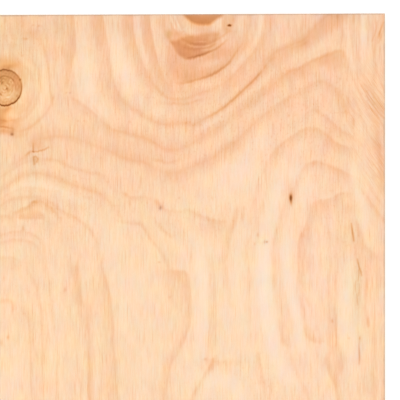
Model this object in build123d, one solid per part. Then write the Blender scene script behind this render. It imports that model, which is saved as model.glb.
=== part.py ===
from build123d import *
from build123d.topology import SkipClean
import os

# Plywood sheet of five glued veneers, sawn square, lying flat with its better face up.
# Every size is in millimetres. The origin is the middle of the underside.
# The face grain runs along Y, the width is along X and the thickness is along Z.

INCH = 25.4
FOOT = 12 * INCH

# The outline of the sheet, along and across the face grain.
SHEET_LENGTH = 8 * FOOT
SHEET_WIDTH = 4 * FOOT

# The lay-up. The outer veneers are sanded thinner than the tenth of an inch that they are peeled at.
BACK_VENEER = 1.75
LOWER_CROSSBAND = 2.54
CORE_VENEER = 2.54
UPPER_CROSSBAND = 2.54
FACE_VENEER = 1.75

# Sanding and handling round the sharp edge between each broad side and the sawn edges.
ARRIS_RADIUS = 0.5


def veneer(thickness, underside):
    """One full-size veneer of the lay-up, lying on the plane at the height given."""
    outline = Plane.XY.offset(underside) * Rectangle(SHEET_WIDTH, SHEET_LENGTH)
    return extrude(outline, thickness)


def laid_up_blank(thicknesses):
    """The veneers pressed into one solid, whose sawn edges keep a line at every glue joint."""
    blank = None
    height = 0.0
    with SkipClean():
        for thickness in thicknesses:
            layer = veneer(thickness, height)
            blank = layer if blank is None else blank + layer
            height += thickness
    return blank.solid()


def with_worn_arrises(blank):
    """Rounds the edges of the two broad sides, within the outer veneers."""
    broad_sides = blank.faces().sort_by(Axis.Z)
    edges = broad_sides[0].edges() + broad_sides[-1].edges()
    return fillet(edges, ARRIS_RADIUS)


layup = [BACK_VENEER, LOWER_CROSSBAND, CORE_VENEER, UPPER_CROSSBAND, FACE_VENEER]
sheet = with_worn_arrises(laid_up_blank(layup))

os.makedirs("parts", exist_ok=True)
export_step(sheet, "parts/plywood_sheet.step")
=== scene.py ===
import bpy
import numpy as np
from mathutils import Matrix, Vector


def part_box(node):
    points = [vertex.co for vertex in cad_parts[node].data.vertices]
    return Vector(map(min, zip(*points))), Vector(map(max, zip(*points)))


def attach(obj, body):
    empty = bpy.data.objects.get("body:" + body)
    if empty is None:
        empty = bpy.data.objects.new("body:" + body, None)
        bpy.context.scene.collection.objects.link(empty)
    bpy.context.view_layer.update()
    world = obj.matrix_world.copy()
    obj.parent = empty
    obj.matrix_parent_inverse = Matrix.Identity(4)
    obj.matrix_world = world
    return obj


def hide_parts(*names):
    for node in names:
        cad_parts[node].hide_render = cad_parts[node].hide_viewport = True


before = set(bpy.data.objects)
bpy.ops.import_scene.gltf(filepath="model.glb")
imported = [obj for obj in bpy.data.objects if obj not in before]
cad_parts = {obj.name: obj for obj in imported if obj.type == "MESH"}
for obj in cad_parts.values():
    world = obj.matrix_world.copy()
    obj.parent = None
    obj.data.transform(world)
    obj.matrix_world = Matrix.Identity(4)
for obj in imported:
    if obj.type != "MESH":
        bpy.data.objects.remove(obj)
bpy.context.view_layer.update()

# The dressed plywood sheet: five veneers lying flat with the better face up, in metres.
# The grain of the face runs along Y, as in the CAD part whose box is read here.
LOW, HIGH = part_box("plywood_sheet")
WIDTH = HIGH.x - LOW.x
LENGTH = HIGH.y - LOW.y
THICKNESS = HIGH.z - LOW.z

# Heights of the glue lines above the floor, from the back up to the face.
BACK_GLUE = 0.00175
LOWER_GLUE = 0.00429
UPPER_GLUE = 0.00683
FACE_GLUE = 0.00937

ARRIS = 0.0005

# The photographed figure is drawn in the pixels of the 400 x 400 picture, right and down from its top
# left. The camera looks at the middle of it, a millimetre to a pixel, and leans a little, so that the
# far end rises to the right as in the photo. Without the lean, the sheet's right side and far end would
# be this far from the picture's left and top.
FIGURE_RIGHT = 384.4
FIGURE_TOP = 14.1
FIGURE_MIDDLE = 200.0
FIGURE_FADE_START = 22.0
FIGURE_FADE_END = 42.0
MM = 0.001
LENS = 100.0
CAMERA_AWAY = 2 * FIGURE_MIDDLE * MM * LENS / 36
CAMERA_LEAN = np.radians(1.37)

# The cells of the face, and how finely the photographed corner's are divided. Its first cuts are even,
# and the next ones only where the drawn tone strays from an even blend by more than these limits.
CELLS_ACROSS = 50
CELLS_ALONG = 100
CELL_X = (WIDTH - 2 * ARRIS) / CELLS_ACROSS
CELL_Y = (LENGTH - 2 * ARRIS) / CELLS_ALONG
CORNER_CELLS = 18
FIRST_CUTS = 5
FINEST = 48
STRAY_LIMITS = (0.7, 1.3, 2.5)

# Gaps between the strips of the inner veneers: axis, place along it, width and depth.
UPPER_GAPS = [(1, 0.31, 0.0016, 0.012), (1, -0.83, 0.0022, 0.012)]
CORE_GAPS = [(0, -0.36, 0.0013, 0.010)]
LOWER_GAPS = [(1, -0.22, 0.0019, 0.012), (1, 0.96, 0.0012, 0.012)]

# Knots outside the photographed corner: place and radius.
FACE_KNOTS = [
    (-0.205, 0.62, 0.017), (0.33, 0.12, 0.013), (-0.42, -0.34, 0.02), (0.12, -0.71, 0.015),
    (-0.1, 1.02, 0.009), (0.47, -0.98, 0.011),
]
BACK_KNOTS = [
    (0.4, 0.85, 0.02), (-0.3, 0.42, 0.023), (0.18, -0.15, 0.016), (-0.45, -0.62, 0.021),
    (0.3, -1.0, 0.018), (-0.05, 0.98, 0.012), (-0.2, -0.2, 0.01),
]

# How much the fibres, streaks, ticks and pores change the tone, and how far some fibres are turned.
HAIRS = 0.30
FINE_FIBRES = 0.50
MEDIUM_STREAKS = 0.22
BROAD_STREAKS = 0.13
DARK_TICKS = 0.20
DARK_PORES = 0.28
PLAIN_TICKS = 0.5
FIBRE_SLANT = 0.58
# Depth of the fibres in wood from dark to pale.
FIBRE_DEPTHS = [(0.0, 0.30), (0.35, 0.60), (0.60, 1.0), (0.78, 0.95), (1.0, 0.62)]

# Screen colours of the sawn edges, their glue, and the grey painted shade along the worn arris next to
# them.
LONG_GRAIN_COLOURS = [(0.25, (212, 162, 110)), (0.5, (238, 196, 147)), (0.75, (248, 214, 170))]
END_GRAIN_COLOURS = [(0.32, (140, 92, 54)), (0.5, (188, 136, 86)), (0.7, (214, 166, 114))]
# The next colour is painted shade in the small splits of the end grain.
SPLIT_SHADE_COLOUR = (96, 62, 38)
SAW_MARK_COLOUR = (150, 112, 76)
GLUE_COLOUR = (84, 52, 38)
# The next colour is grey painted shade along the worn arris.
ARRIS_SHADE_COLOUR = (178, 152, 132)

WORLD_LIGHT = 0.725
LAMP_LIGHT = 0.955

DARKEST_TONE = -2.1
PALEST_TONE = 0.5

# Screen colours of the wood by tone in hundredths, from dark to pale: knot rims, late and early wood.
WOOD_COLOURS = [
    (-192, (146, 80, 28)),
    (-137, (188, 121, 68)),
    (-100, (217, 147, 93)),
    (-82, (226, 158, 104)),
    (-54, (240, 179, 127)),
    (-36, (245, 189, 143)),
    (-24, (247, 194, 150)),
    (-12, (249, 201, 160)),
    (-1, (252, 209, 170)),
    (8, (254, 215, 177)),
    (20, (255, 222, 188)),
    (45, (255, 230, 204)),
]

# Place and half sizes of the round knot in the picture.
KNOT_RIGHT = 5.0
KNOT_DOWN = 87.6
KNOT_WIDE = 16.7
KNOT_TALL = 17.9

# The plain tone, how much paler the lower half is, and how far fibres shift the lines.
BASE_TONE = 0.0
LOWER_LIFT = 10.0
LOWER_START = 215.0
FIBRE_STEP = 0.3

# Late wood lines of the photographed corner. Each has its drop, the extra drop of its own narrow core,
# how far it fades on its left and on its right hand, and the points along it with their strength.
DARK_LINES = {
    # the upright bands at the top left, the sharp side to the right
    "band_1": (14, 9, 2.5, 9, [(71, 10), (73.5, 25), (75, 38), (74.5, 50), (71, 64, .9), (69, 76, .7),
        (66.5, 88, .4)]),
    "band_1_west": (7, 3, 3, 5, [(62.5, 10), (62.5, 35), (63, 55, .7), (66, 70, .3)]),
    "band_2": (17, 7, 3, 13, [(100, 10, 1.3), (102.5, 24, 1.2), (106.5, 42), (109, 60, .8),
        (111.5, 76, .7), (115, 88, .8), (119, 95, .8), (123, 101, .5)]),
    "band_2_foot": (14, 9, 8, 5, [(115, 88, .3), (122, 100, .8), (130, 107, .8), (138, 112),
        (147, 117.5), (156, 122), (166, 124.5), (176, 124), (186, 122.5, 1.1), (195, 124.5, .9),
        (203, 120, .6)]),
    "band_3": (26, 6, 2, 13, [(131.8, 10), (131.8, 22), (133.2, 34), (135.8, 46, .9), (139.8, 58, .6),
        (145.5, 70, .4), (152, 80, .3)]),
    "band_3_foot": (6, 15, 4, 5, [(143, 66, .2), (148, 76, .7), (153, 84), (159, 91, 1.1),
        (165, 96, 1.1), (172, 99), (180, 99.5), (188, 98, .8), (197, 94.5, .8), (207, 91, .8),
        (216, 88, .6), (224, 84, .3)]),
    "band_4": (29, 5, 2, 10, [(148, 10), (149, 20), (150.6, 32), (152.8, 44), (155.4, 56),
        (158.2, 66, .7), (162.5, 76, .5), (168, 86, .3)]),
    "second_foot": (4, 14, 3, 3, [(160, 102, .2), (167, 103.5, .8), (175, 103.5), (184, 104),
        (192, 102, .9), (199, 100, .9), (205, 99, .4)]),
    # round the dark nest of rings at the far edge
    "nest_line": (26, 36, 9, 2.2, [(177, 83.5, .3), (185, 82.8, .6), (191, 81.2, .8), (198, 79.3, .85),
        (204.5, 77.6, .95), (210, 75.6, 1.05), (216.5, 72.2, 1.15), (220.5, 69.4, 1.2),
        (224.7, 66.4, 1.1), (228.7, 63, .9), (231.8, 59, .75), (235.5, 53.5, .6), (239, 48.5, .5),
        (242, 43.5, .3)]),
    "nest_shoulder": (13, 3, 8, 4, [(236, 58, .7), (241, 52, 1.1), (245, 45, 1.1), (247.5, 34, .9),
        (249, 25, 1), (250.5, 12, 1)]),
    "left_horn": (18, 0, 6, 6, [(161, 10, .8), (163, 20, .8), (166, 28), (168, 34, 1.2)]),
    "nest_outer": (15, 3, 13, 2.5, [(265.2, 10), (264.8, 20), (263, 31), (260.5, 41), (255.5, 50, .7),
        (249, 58, .9), (244, 64), (238, 70.5), (231, 78), (226, 82, .6), (219, 86, .4)]),
    "dark_sickle": (10, 50, 6, 5, [(196, 123.5, .25), (203, 119.5, .4), (210.4, 115.9, .7),
        (219, 111, .9), (227.2, 104.6), (235.2, 97.7, 1.1), (244.2, 89.2, 1), (252, 82, 1.1),
        (258.6, 75, 1.1), (263, 69.5, .5), (267, 64, .4), (271, 59.5, .4), (275, 57, .3)]),
    "right_limb": (21, 12, 6, 17, [(264, 61.5, .5), (271, 56, .8), (278, 51, .8), (287, 47),
        (294, 43.8, 1.1), (301, 41.8, 1.2), (306, 38, 1.1), (310, 33, 1), (315, 27, .9), (322, 20, .9),
        (329, 14, .9), (336, 11, .8)]),
    "right_limb_under": (22, 14, 5, 5, [(288, 49.5, .4), (296, 47, .8), (303, 45), (307, 41.5, .9),
        (310, 36, .6)]),
    "below_limb": (14, 0, 7, 7, [(276, 56, .8), (284, 55, .7), (294, 52, .6), (304, 50, .4)]),
    # the outer lines that cross the middle
    "foot_1_left": (11, 10, 3, 9, [(64, 96, .2), (70, 98, .5), (77, 101, .8), (84, 106, .9), (92, 112),
        (101, 120.5), (107, 126, 1.1), (113, 130, 1.1), (121, 131.5, .9), (130, 133, .4)]),
    "foot_1_mid": (15, 12, 9, 5, [(113, 131, .3), (122, 132, .8), (130, 134), (138, 136.5),
        (146, 138.5, 1.2), (154, 142.5), (163, 148), (172, 150, .9), (180, 149, .8), (190, 144.5, .7),
        (198, 139.5, .5)]),
    "foot_1_right": (14, 4, 8, 7, [(188, 146, .4), (197, 140), (205, 135.5, 1.1), (214, 130.5, 1.1),
        (222, 125, .8), (230, 119, .7), (240, 111, .9), (250, 103.5, 1.1), (260, 95.5, 1.1),
        (270, 88, 1.1), (280, 80), (287, 74, .7)]),
    "peak_1": (20, 14, 3.5, 12, [(278, 80, .5), (286, 74.5, .9), (292, 70.5, 1.1), (298, 69.5, 1.1),
        (305, 65.5, .9), (312, 61.5, 1), (319, 58.5, 1.2), (326, 55.5, 1.3), (333, 53, 1.1),
        (340, 51, .9), (344.5, 55, .5), (348, 63, .3)]),
    "foot_2_left": (13, 9, 10, 6, [(28, 145, .2), (36, 140, .7), (46, 138, 1.1), (56, 136, .9),
        (66, 137, .7), (76, 138.5, .8), (86, 142.5, .8), (96, 146, .7), (106, 149, .8), (115, 154),
        (125, 158, 1.1), (135, 161, 1.3), (145, 162.5, 1.2), (150, 165, .8)]),
    "foot_2_right": (15, 6, 7, 13, [(146, 163, .6), (152, 167, .9), (160, 171), (168, 173), (176, 173),
        (184, 170.5, .9), (192, 166.5, 1.0), (200, 163, 1.1), (207, 160.5, 1.1), (214, 157, 1.1),
        (221.5, 151.5), (229.5, 146.5), (237, 141, 1.1), (245, 133.2), (252.8, 125.5, .7),
        (258, 119.5, .6)]),
    "hump_1": (12, 5, 4, 9, [(252, 124, .6), (262, 116.5, .8), (272, 109.5), (281, 103.5),
        (290, 97.5, .9), (300, 92, .8), (308, 87), (315, 83, 1.2), (323, 81.5, 1.3), (330, 85, 1.1),
        (335, 90, 1.1), (340, 97), (344, 104, .8), (347, 112, 1.1)]),
    "foot_2_inner": (6, 12, 4, 4, [(150, 158.5, .4), (155, 160, 1), (160, 160.5, 1), (165, 162.5, 1.1),
        (170, 162.5), (176, 161, .8), (181, 159, .3)]),
    "hump_2_inner": (10, 6, 3, 7, [(300, 118, .2), (308, 113, .5), (314, 110), (320, 113), (327, 118),
        (334, 125, 1.3), (341, 131, 1.1), (348, 135, 1.2), (353, 138, .8)]),
    "hump_2": (15, 6, 3, 11, [(262, 176, .3), (267, 164, .5), (273, 154, .8), (280, 146, .9),
        (288, 140, .9), (296, 135), (304, 130, 1.1), (312, 129), (320, 131), (327, 135, 1.1),
        (332, 141, 1.3), (338, 145, 1.2), (345, 147.5, .9), (352, 149, .4)]),
    "hump_3": (13, 7, 3, 8, [(294, 196, .3), (296, 187, .6), (299, 178, .8), (303, 170, .9),
        (308, 165), (314, 162.5, 1.3), (320, 163), (327, 165, .9), (334, 168, 1.2), (340, 171, 1.3),
        (346, 174, .9), (353, 177, .5), (360, 182, .3)]),
    "bracket": (17, 3, 2.5, 12, [(311, 214, .5), (313, 205, .7), (320, 201, .7), (328, 200, .7),
        (334, 198, .9), (338, 195, 1.2), (344, 193.5, .9), (350, 194, .5), (352, 201, .3)]),
    # the arcs round the knot and below it
    "ring_1": (10, 6, 3, 3, [(20, 62, .6), (28, 70), (32.5, 80), (33.5, 90), (32, 99), (27.5, 108),
        (19, 114, .6)]),
    "ring_2": (8, 6, 3, 4, [(31, 60, .6), (36, 66), (39.5, 75), (40, 85, .8), (38, 97), (32.5, 109),
        (24, 118), (14, 122, .8)]),
    "ring_3": (7, 15, 3, 4, [(40, 38, .3), (45, 50, .8), (47.5, 62), (49, 75), (50.5, 90, .9),
        (51.5, 102, .7), (46, 113, .8), (37, 122), (28, 128.5), (17, 132, .8)]),
    "ring_4": (4, 8, 2, 2, [(54, 46, .8), (54.5, 56), (55.5, 70, .9), (56, 76, .4)]),
    "ring_5": (5, 8, 2, 5, [(57, 12), (57.5, 26), (58, 40, .5)]),
    "ring_6": (5, 4, 2, 3, [(26, 84, .4), (28.5, 92, .9), (28, 100, .8), (24, 107, .4)]),
    "below_knot_4": (26, 6, 4, 5, [(-16, 131), (0, 131), (9, 132.5, .9), (17, 134.5, .7), (25, 133, .4)]),
    "arc_1": (13, 8, 5, 5, [(10, 167, .4), (17, 162, .7), (24, 158, .9), (30, 154, .6)]),
    "arc_2": (6, 12, 5, 4, [(36, 163, .5), (45, 160.5), (54, 160), (62, 163), (70, 167, .9), (80, 170),
        (90, 173, .9), (99, 174, .9), (104, 177, .6), (109, 184, .6), (115, 191, .4)]),
    "arc_3": (13, 7, 6, 5, [(0, 192, .5), (7, 187, .7), (14, 181, .8), (22, 175.5, .9),
        (33, 173.5, 1.1), (44, 174, 1.1), (54, 177), (63, 181, 1.1), (72, 184.5, 1.1), (82, 188),
        (91, 190.5, 1.2), (99, 193, 1.3), (106, 199, .8), (112, 205, .6), (119, 214, .6),
        (126, 220, .4)]),
    "arc_4": (9, 8, 4, 5, [(-14, 212, .7), (0, 206, .8), (6, 202, .9), (13, 199), (24, 197.3),
        (36, 197.5), (46, 200), (53, 204.5), (60, 210), (68, 214.5, 1.1), (76, 218.5, 1.1),
        (84, 223.5, 1.2), (90, 230, 1.2), (95, 238, 1.2), (98.5, 248, 1.1), (100.5, 260, 1.1),
        (103, 272, 1.3)]),
    "arc_4_down": (16, 9, 3, 13, [(100, 258, .2), (103, 272, .8), (106.5, 284, 1.2), (109.5, 297),
        (111, 310, 1.1), (112.5, 325), (113.5, 345, .9), (115, 365, .9), (115.5, 385), (117, 402, .9),
        (118, 424, .9)]),
    "arc_5": (7, 9, 3, 5, [(-18, 238, .8), (0, 235.5), (12, 232.5), (24, 232), (33, 235, .9),
        (40, 240, .8), (44, 249, .5), (46, 260, .3)]),
    "arc_6": (7, 8, 3, 5, [(-18, 244, .8), (0, 243), (14, 240), (26, 241), (35, 245, .9),
        (40, 253, .8), (44, 262, .7), (48, 275, .7), (51, 290, .8), (52, 305, .7), (54, 330, .6)]),
    "arc_7": (8, 8, 3, 6, [(-18, 259, .7), (0, 258, .9), (12, 258, .8), (22, 262, .4)]),
    "orange_roof": (24, 16, 3, 7, [(14, 213.5, .5), (22, 209.5, .8), (29, 206.8, .9), (33, 202.6, 1.1),
        (40, 201, .8), (46, 204.5, .7), (52, 209, .8), (57, 214, .4), (61, 219, .3)]),
    "orange_floor": (10, 3, 8, 2, [(14, 217, .8), (22, 218), (32, 218), (42, 218.5, .7), (50, 224, .6)]),
    "left_edge_arc": (14, 6, 3, 7, [(-18, 218, .8), (0, 216.5), (6, 216.5, .9), (12, 218, .6)]),
    # the lines in the lower half
    "inner_down_1": (7, 8, 3, 3, [(26, 268, .3), (32, 278, .7), (37, 288), (40, 304, .9), (41.5, 320),
        (42.5, 345, .9), (43, 370, .7), (43, 424, .5)]),
    "inner_down_2": (5, 8, 3, 3, [(52, 300, .6), (54, 325, .7), (56, 345), (57.5, 370, 1.1), (57, 395),
        (57, 424)]),
    "short_band": (13, 6, 12, 2.5, [(23.5, 313, .6), (27.5, 318), (30, 327, 1.2), (30.5, 337, .9),
        (31, 350, .7), (31.3, 372, .9), (31.8, 396, .8), (32, 424)]),
    "mid_band": (14, 4, 2.5, 9, [(74, 262, .4), (77, 272), (79, 282, 1.1), (80.5, 293),
        (81.5, 303, .9), (83, 310, .3)]),
    "mid_band_2": (13, 3, 5, 5, [(81, 300, .5), (86, 308, .8), (88, 318), (88, 330, .9), (88, 356, .8)]),
    "strong_down": (20, 11, 6, 2.5, [(88.5, 348, .4), (88.8, 358, .9), (89, 375, 1.1), (89, 400),
        (89, 424)]),
    "far_left_down": (12, 4, 3, 5, [(-2, 301), (8, 300.5), (13, 304, .8), (14, 309, .5)]),
    "middle_foot": (9, 8, 3, 6, [(120, 191, .5), (127, 196, .9), (134, 198), (143, 197, .8),
        (150, 199, .6), (156, 201, .9), (161, 206), (168, 211, .9), (180, 211.5, .7), (190, 210.5),
        (198, 215, 1.2), (208, 219, 1.3), (216, 221, 1.2), (224, 221.5, .8)]),
    "lower_foot": (10, 9, 5, 3, [(117, 221, .5), (124, 222), (132, 223.5, .9), (139, 224), (144, 228),
        (148, 235), (153, 242), (158, 248), (163, 256, .9), (167, 264, .8), (170, 270, .8)]),
    "short_foot": (8, 10, 4, 4, [(151, 217, .4), (157, 223, .9), (163, 230, 1.2), (168, 234, 1.2),
        (172, 237), (175, 232, .5)]),
    "hook_top": (16, 4, 3, 12, [(168, 271, .5), (176, 272), (184, 272), (187, 276, .8)]),
    "hook_side": (16, 5, 3, 9, [(186, 274, .8), (189, 285), (190.3, 298), (190.3, 312), (188.5, 326),
        (185, 336), (181.5, 345), (178, 352, .7), (173, 359, .9), (169.5, 368), (167, 382), (165, 400),
        (163, 424)]),
    "step_down": (9, 5, 9, 2, [(209.5, 266, .5), (209, 290, .9), (209.5, 320), (208.5, 345),
        (207, 356, .6)]),
    "step_down_2": (5, 9, 2, 2, [(215, 276, .4), (216, 300, .8), (216, 325, .9), (215, 345, .6)]),
    "crook_1": (15, 6, 4, 7, [(237, 212, .7), (234.5, 222, 1.1), (230.5, 232, 1.2), (228, 243, 1.1),
        (227.5, 252, .8), (224, 262, .7)]),
    "crook_1_low": (12, 5, 3, 5, [(224, 262, .5), (226, 272), (227, 284, .9), (230, 294, .6),
        (232, 306, .6)]),
    "crook_2": (12, 8, 3, 3, [(244, 208, .9), (242.5, 217), (241, 224, .5)]),
    "thin_1": (4, 6, 2, 2, [(270, 160, .7), (264, 171), (258, 182, .8), (254, 196, .8), (251, 211, .6)]),
    "thin_2": (6, 7, 3, 3, [(256, 228, .4), (250, 238, .8), (247, 248), (247, 262, .8), (249, 280, .8),
        (248.5, 300, .9), (250, 318, .9), (251, 336, .7)]),
    "long_line": (9, 4, 7, 3, [(284.5, 202, .5), (281.5, 214, .8), (278.5, 226, .9), (275, 238),
        (272.6, 252, 1.1), (272.6, 268, 1.1), (274, 285), (276.2, 302, .9), (279, 318, .8),
        (281.5, 332), (285, 345, 1.2)]),
    "curved_line": (14, 5, 9, 2.5, [(313.5, 203, .6), (308.5, 219, 1.2), (303.5, 232, 1.2),
        (299.5, 241), (298.8, 262, 1.0), (299.3, 278, 1.0), (302.5, 287, .8)]),
    "curved_line_end": (7, 9, 3, 3, [(301, 289, .7), (305, 297), (309, 305, .7)]),
    "curved_line_side": (7, 6, 3, 3, [(301, 296, .6), (303, 310), (304, 322, .9), (306, 333, .8)]),
    "shelf": (14, 3, 7, 3, [(304, 331, .8), (308, 337), (314, 341), (320, 342, .8)]),
    "strip_left": (6, 6, 5, 2, [(328, 232, .3), (330, 245, .8), (330, 262), (329, 290),
        (329, 320, 1.2), (329, 345, .9)]),
    "strip_right": (6, 6, 2, 5, [(338, 238, .5), (337, 262, .8), (336, 290), (336, 318, 1.2),
        (335.5, 345, .9)]),
    "crack_1_shade": (9, 0, 3, 3, [(350.3, 221, .5), (351.5, 229), (353.5, 241, .9)]),
    "crack_2_shade": (10, 0, 3, 3, [(354.5, 245, .5), (355.5, 252, .8), (357, 259, 1.2),
        (358.5, 267, 1.2), (360.5, 273, .9)]),
    "crack_3_shade": (9, 0, 4, 4, [(358, 268, .6), (358.5, 278, .9), (356.5, 289, .8), (357, 299, 1.0),
        (358, 307, .6)]),
    "crack_4_shade": (7, 0, 3, 3, [(359.5, 330, .2), (360, 338, 1.1), (359.8, 346, .9),
        (359.8, 355, 1.2), (359.5, 366, .7)]),
    "crack_side": (10, 4, 3, 6, [(356, 221, .8), (360, 232), (363, 243), (369, 250, .8),
        (375, 255, .6), (384, 262, .4)]),
    "lower_right_1": (6, 14, 3, 4, [(366, 272, .8), (366.5, 286), (365, 305, .5), (367, 318, .9),
        (368.3, 326, 1.2)]),
    "orange_strip": (14, 3, 5, 5, [(374, 314, .5), (375, 335), (374.5, 362), (374, 385, 1.2),
        (375, 424, 1.2)]),
    "right_border_low": (10, 3, 3, 5, [(381, 315, .9), (382, 340), (383, 370), (383, 424, 1.2)]),
    "arrow_left": (16, 5, 6, 3, [(326, 358, .7), (328, 368), (332, 378, 1.2), (336, 386, .9),
        (337.5, 395, .9), (338, 424, .8)]),
    "arrow_right": (14, 0, 3, 9, [(345, 358, .8), (341, 368), (336, 378, .8)]),
    "low_diagonal": (7, 5, 3, 5, [(288, 350, .5), (293, 362, .8), (297, 372), (301, 382, .9),
        (306, 391), (310, 403), (314, 424)]),
    "wedge_left": (15, 8, 6, 3, [(213, 359, 1.4), (210, 367, 1.3), (205, 375, .9), (200, 384, .9),
        (192, 398), (180, 424)]),
    "wedge_right": (13, 3, 4, 6, [(207, 360, .9), (218, 362), (226, 362.5, .8), (240, 362, .3)]),
    "low_mid_streak": (10, 5, 3, 6, [(258, 354, 1.1), (260, 366), (263, 380, 1.2), (265, 392, .8),
        (267, 424, .6)]),
    # streaks down the right side
    "right_side_1": (7, 7, 3, 5, [(383.5, 16), (381, 26), (378, 36), (375, 46, .6)]),
    "right_side_2": (10, 5, 4, 4, [(371, 24, .5), (374, 44, .8), (375, 66, .9), (374, 85, .9),
        (376, 110, .6)]),
    "slant_1": (5, 11, 2, 2, [(360, 70, .3), (366, 82, .7), (372, 92), (378, 101, 1.2), (384, 110)]),
    "slant_2": (5, 11, 2, 2, [(362, 84, .3), (368, 95, .9), (374, 104, 1.2), (384, 118)]),
    "slant_3": (4, 10, 2, 2, [(364, 98, .4), (370, 107, .9), (376, 115), (384, 127)]),
    "slant_4": (4, 8, 2, 2, [(355, 78, .4), (360, 92, .8), (366, 106), (374, 120, .7), (380, 132, .5)]),
    "slant_5": (4, 8, 2, 2, [(352, 92, .4), (357, 106, .8), (362, 120), (368, 132, .6)]),
    "right_side_3": (14, 6, 4, 5, [(376, 118, .7), (378, 138), (380, 156, 1.1), (382, 175, 1.1),
        (382.5, 190, .6)]),
    "flank": (9, 9, 3, 5, [(355, 181, .4), (362, 190, .8), (368, 199), (374, 208, 1.2), (385, 222, 1.2)]),
    "flank_2": (5, 7, 2, 2, [(362, 175, .4), (369, 186, .8), (377, 198), (385, 208, .8)]),
}

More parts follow.
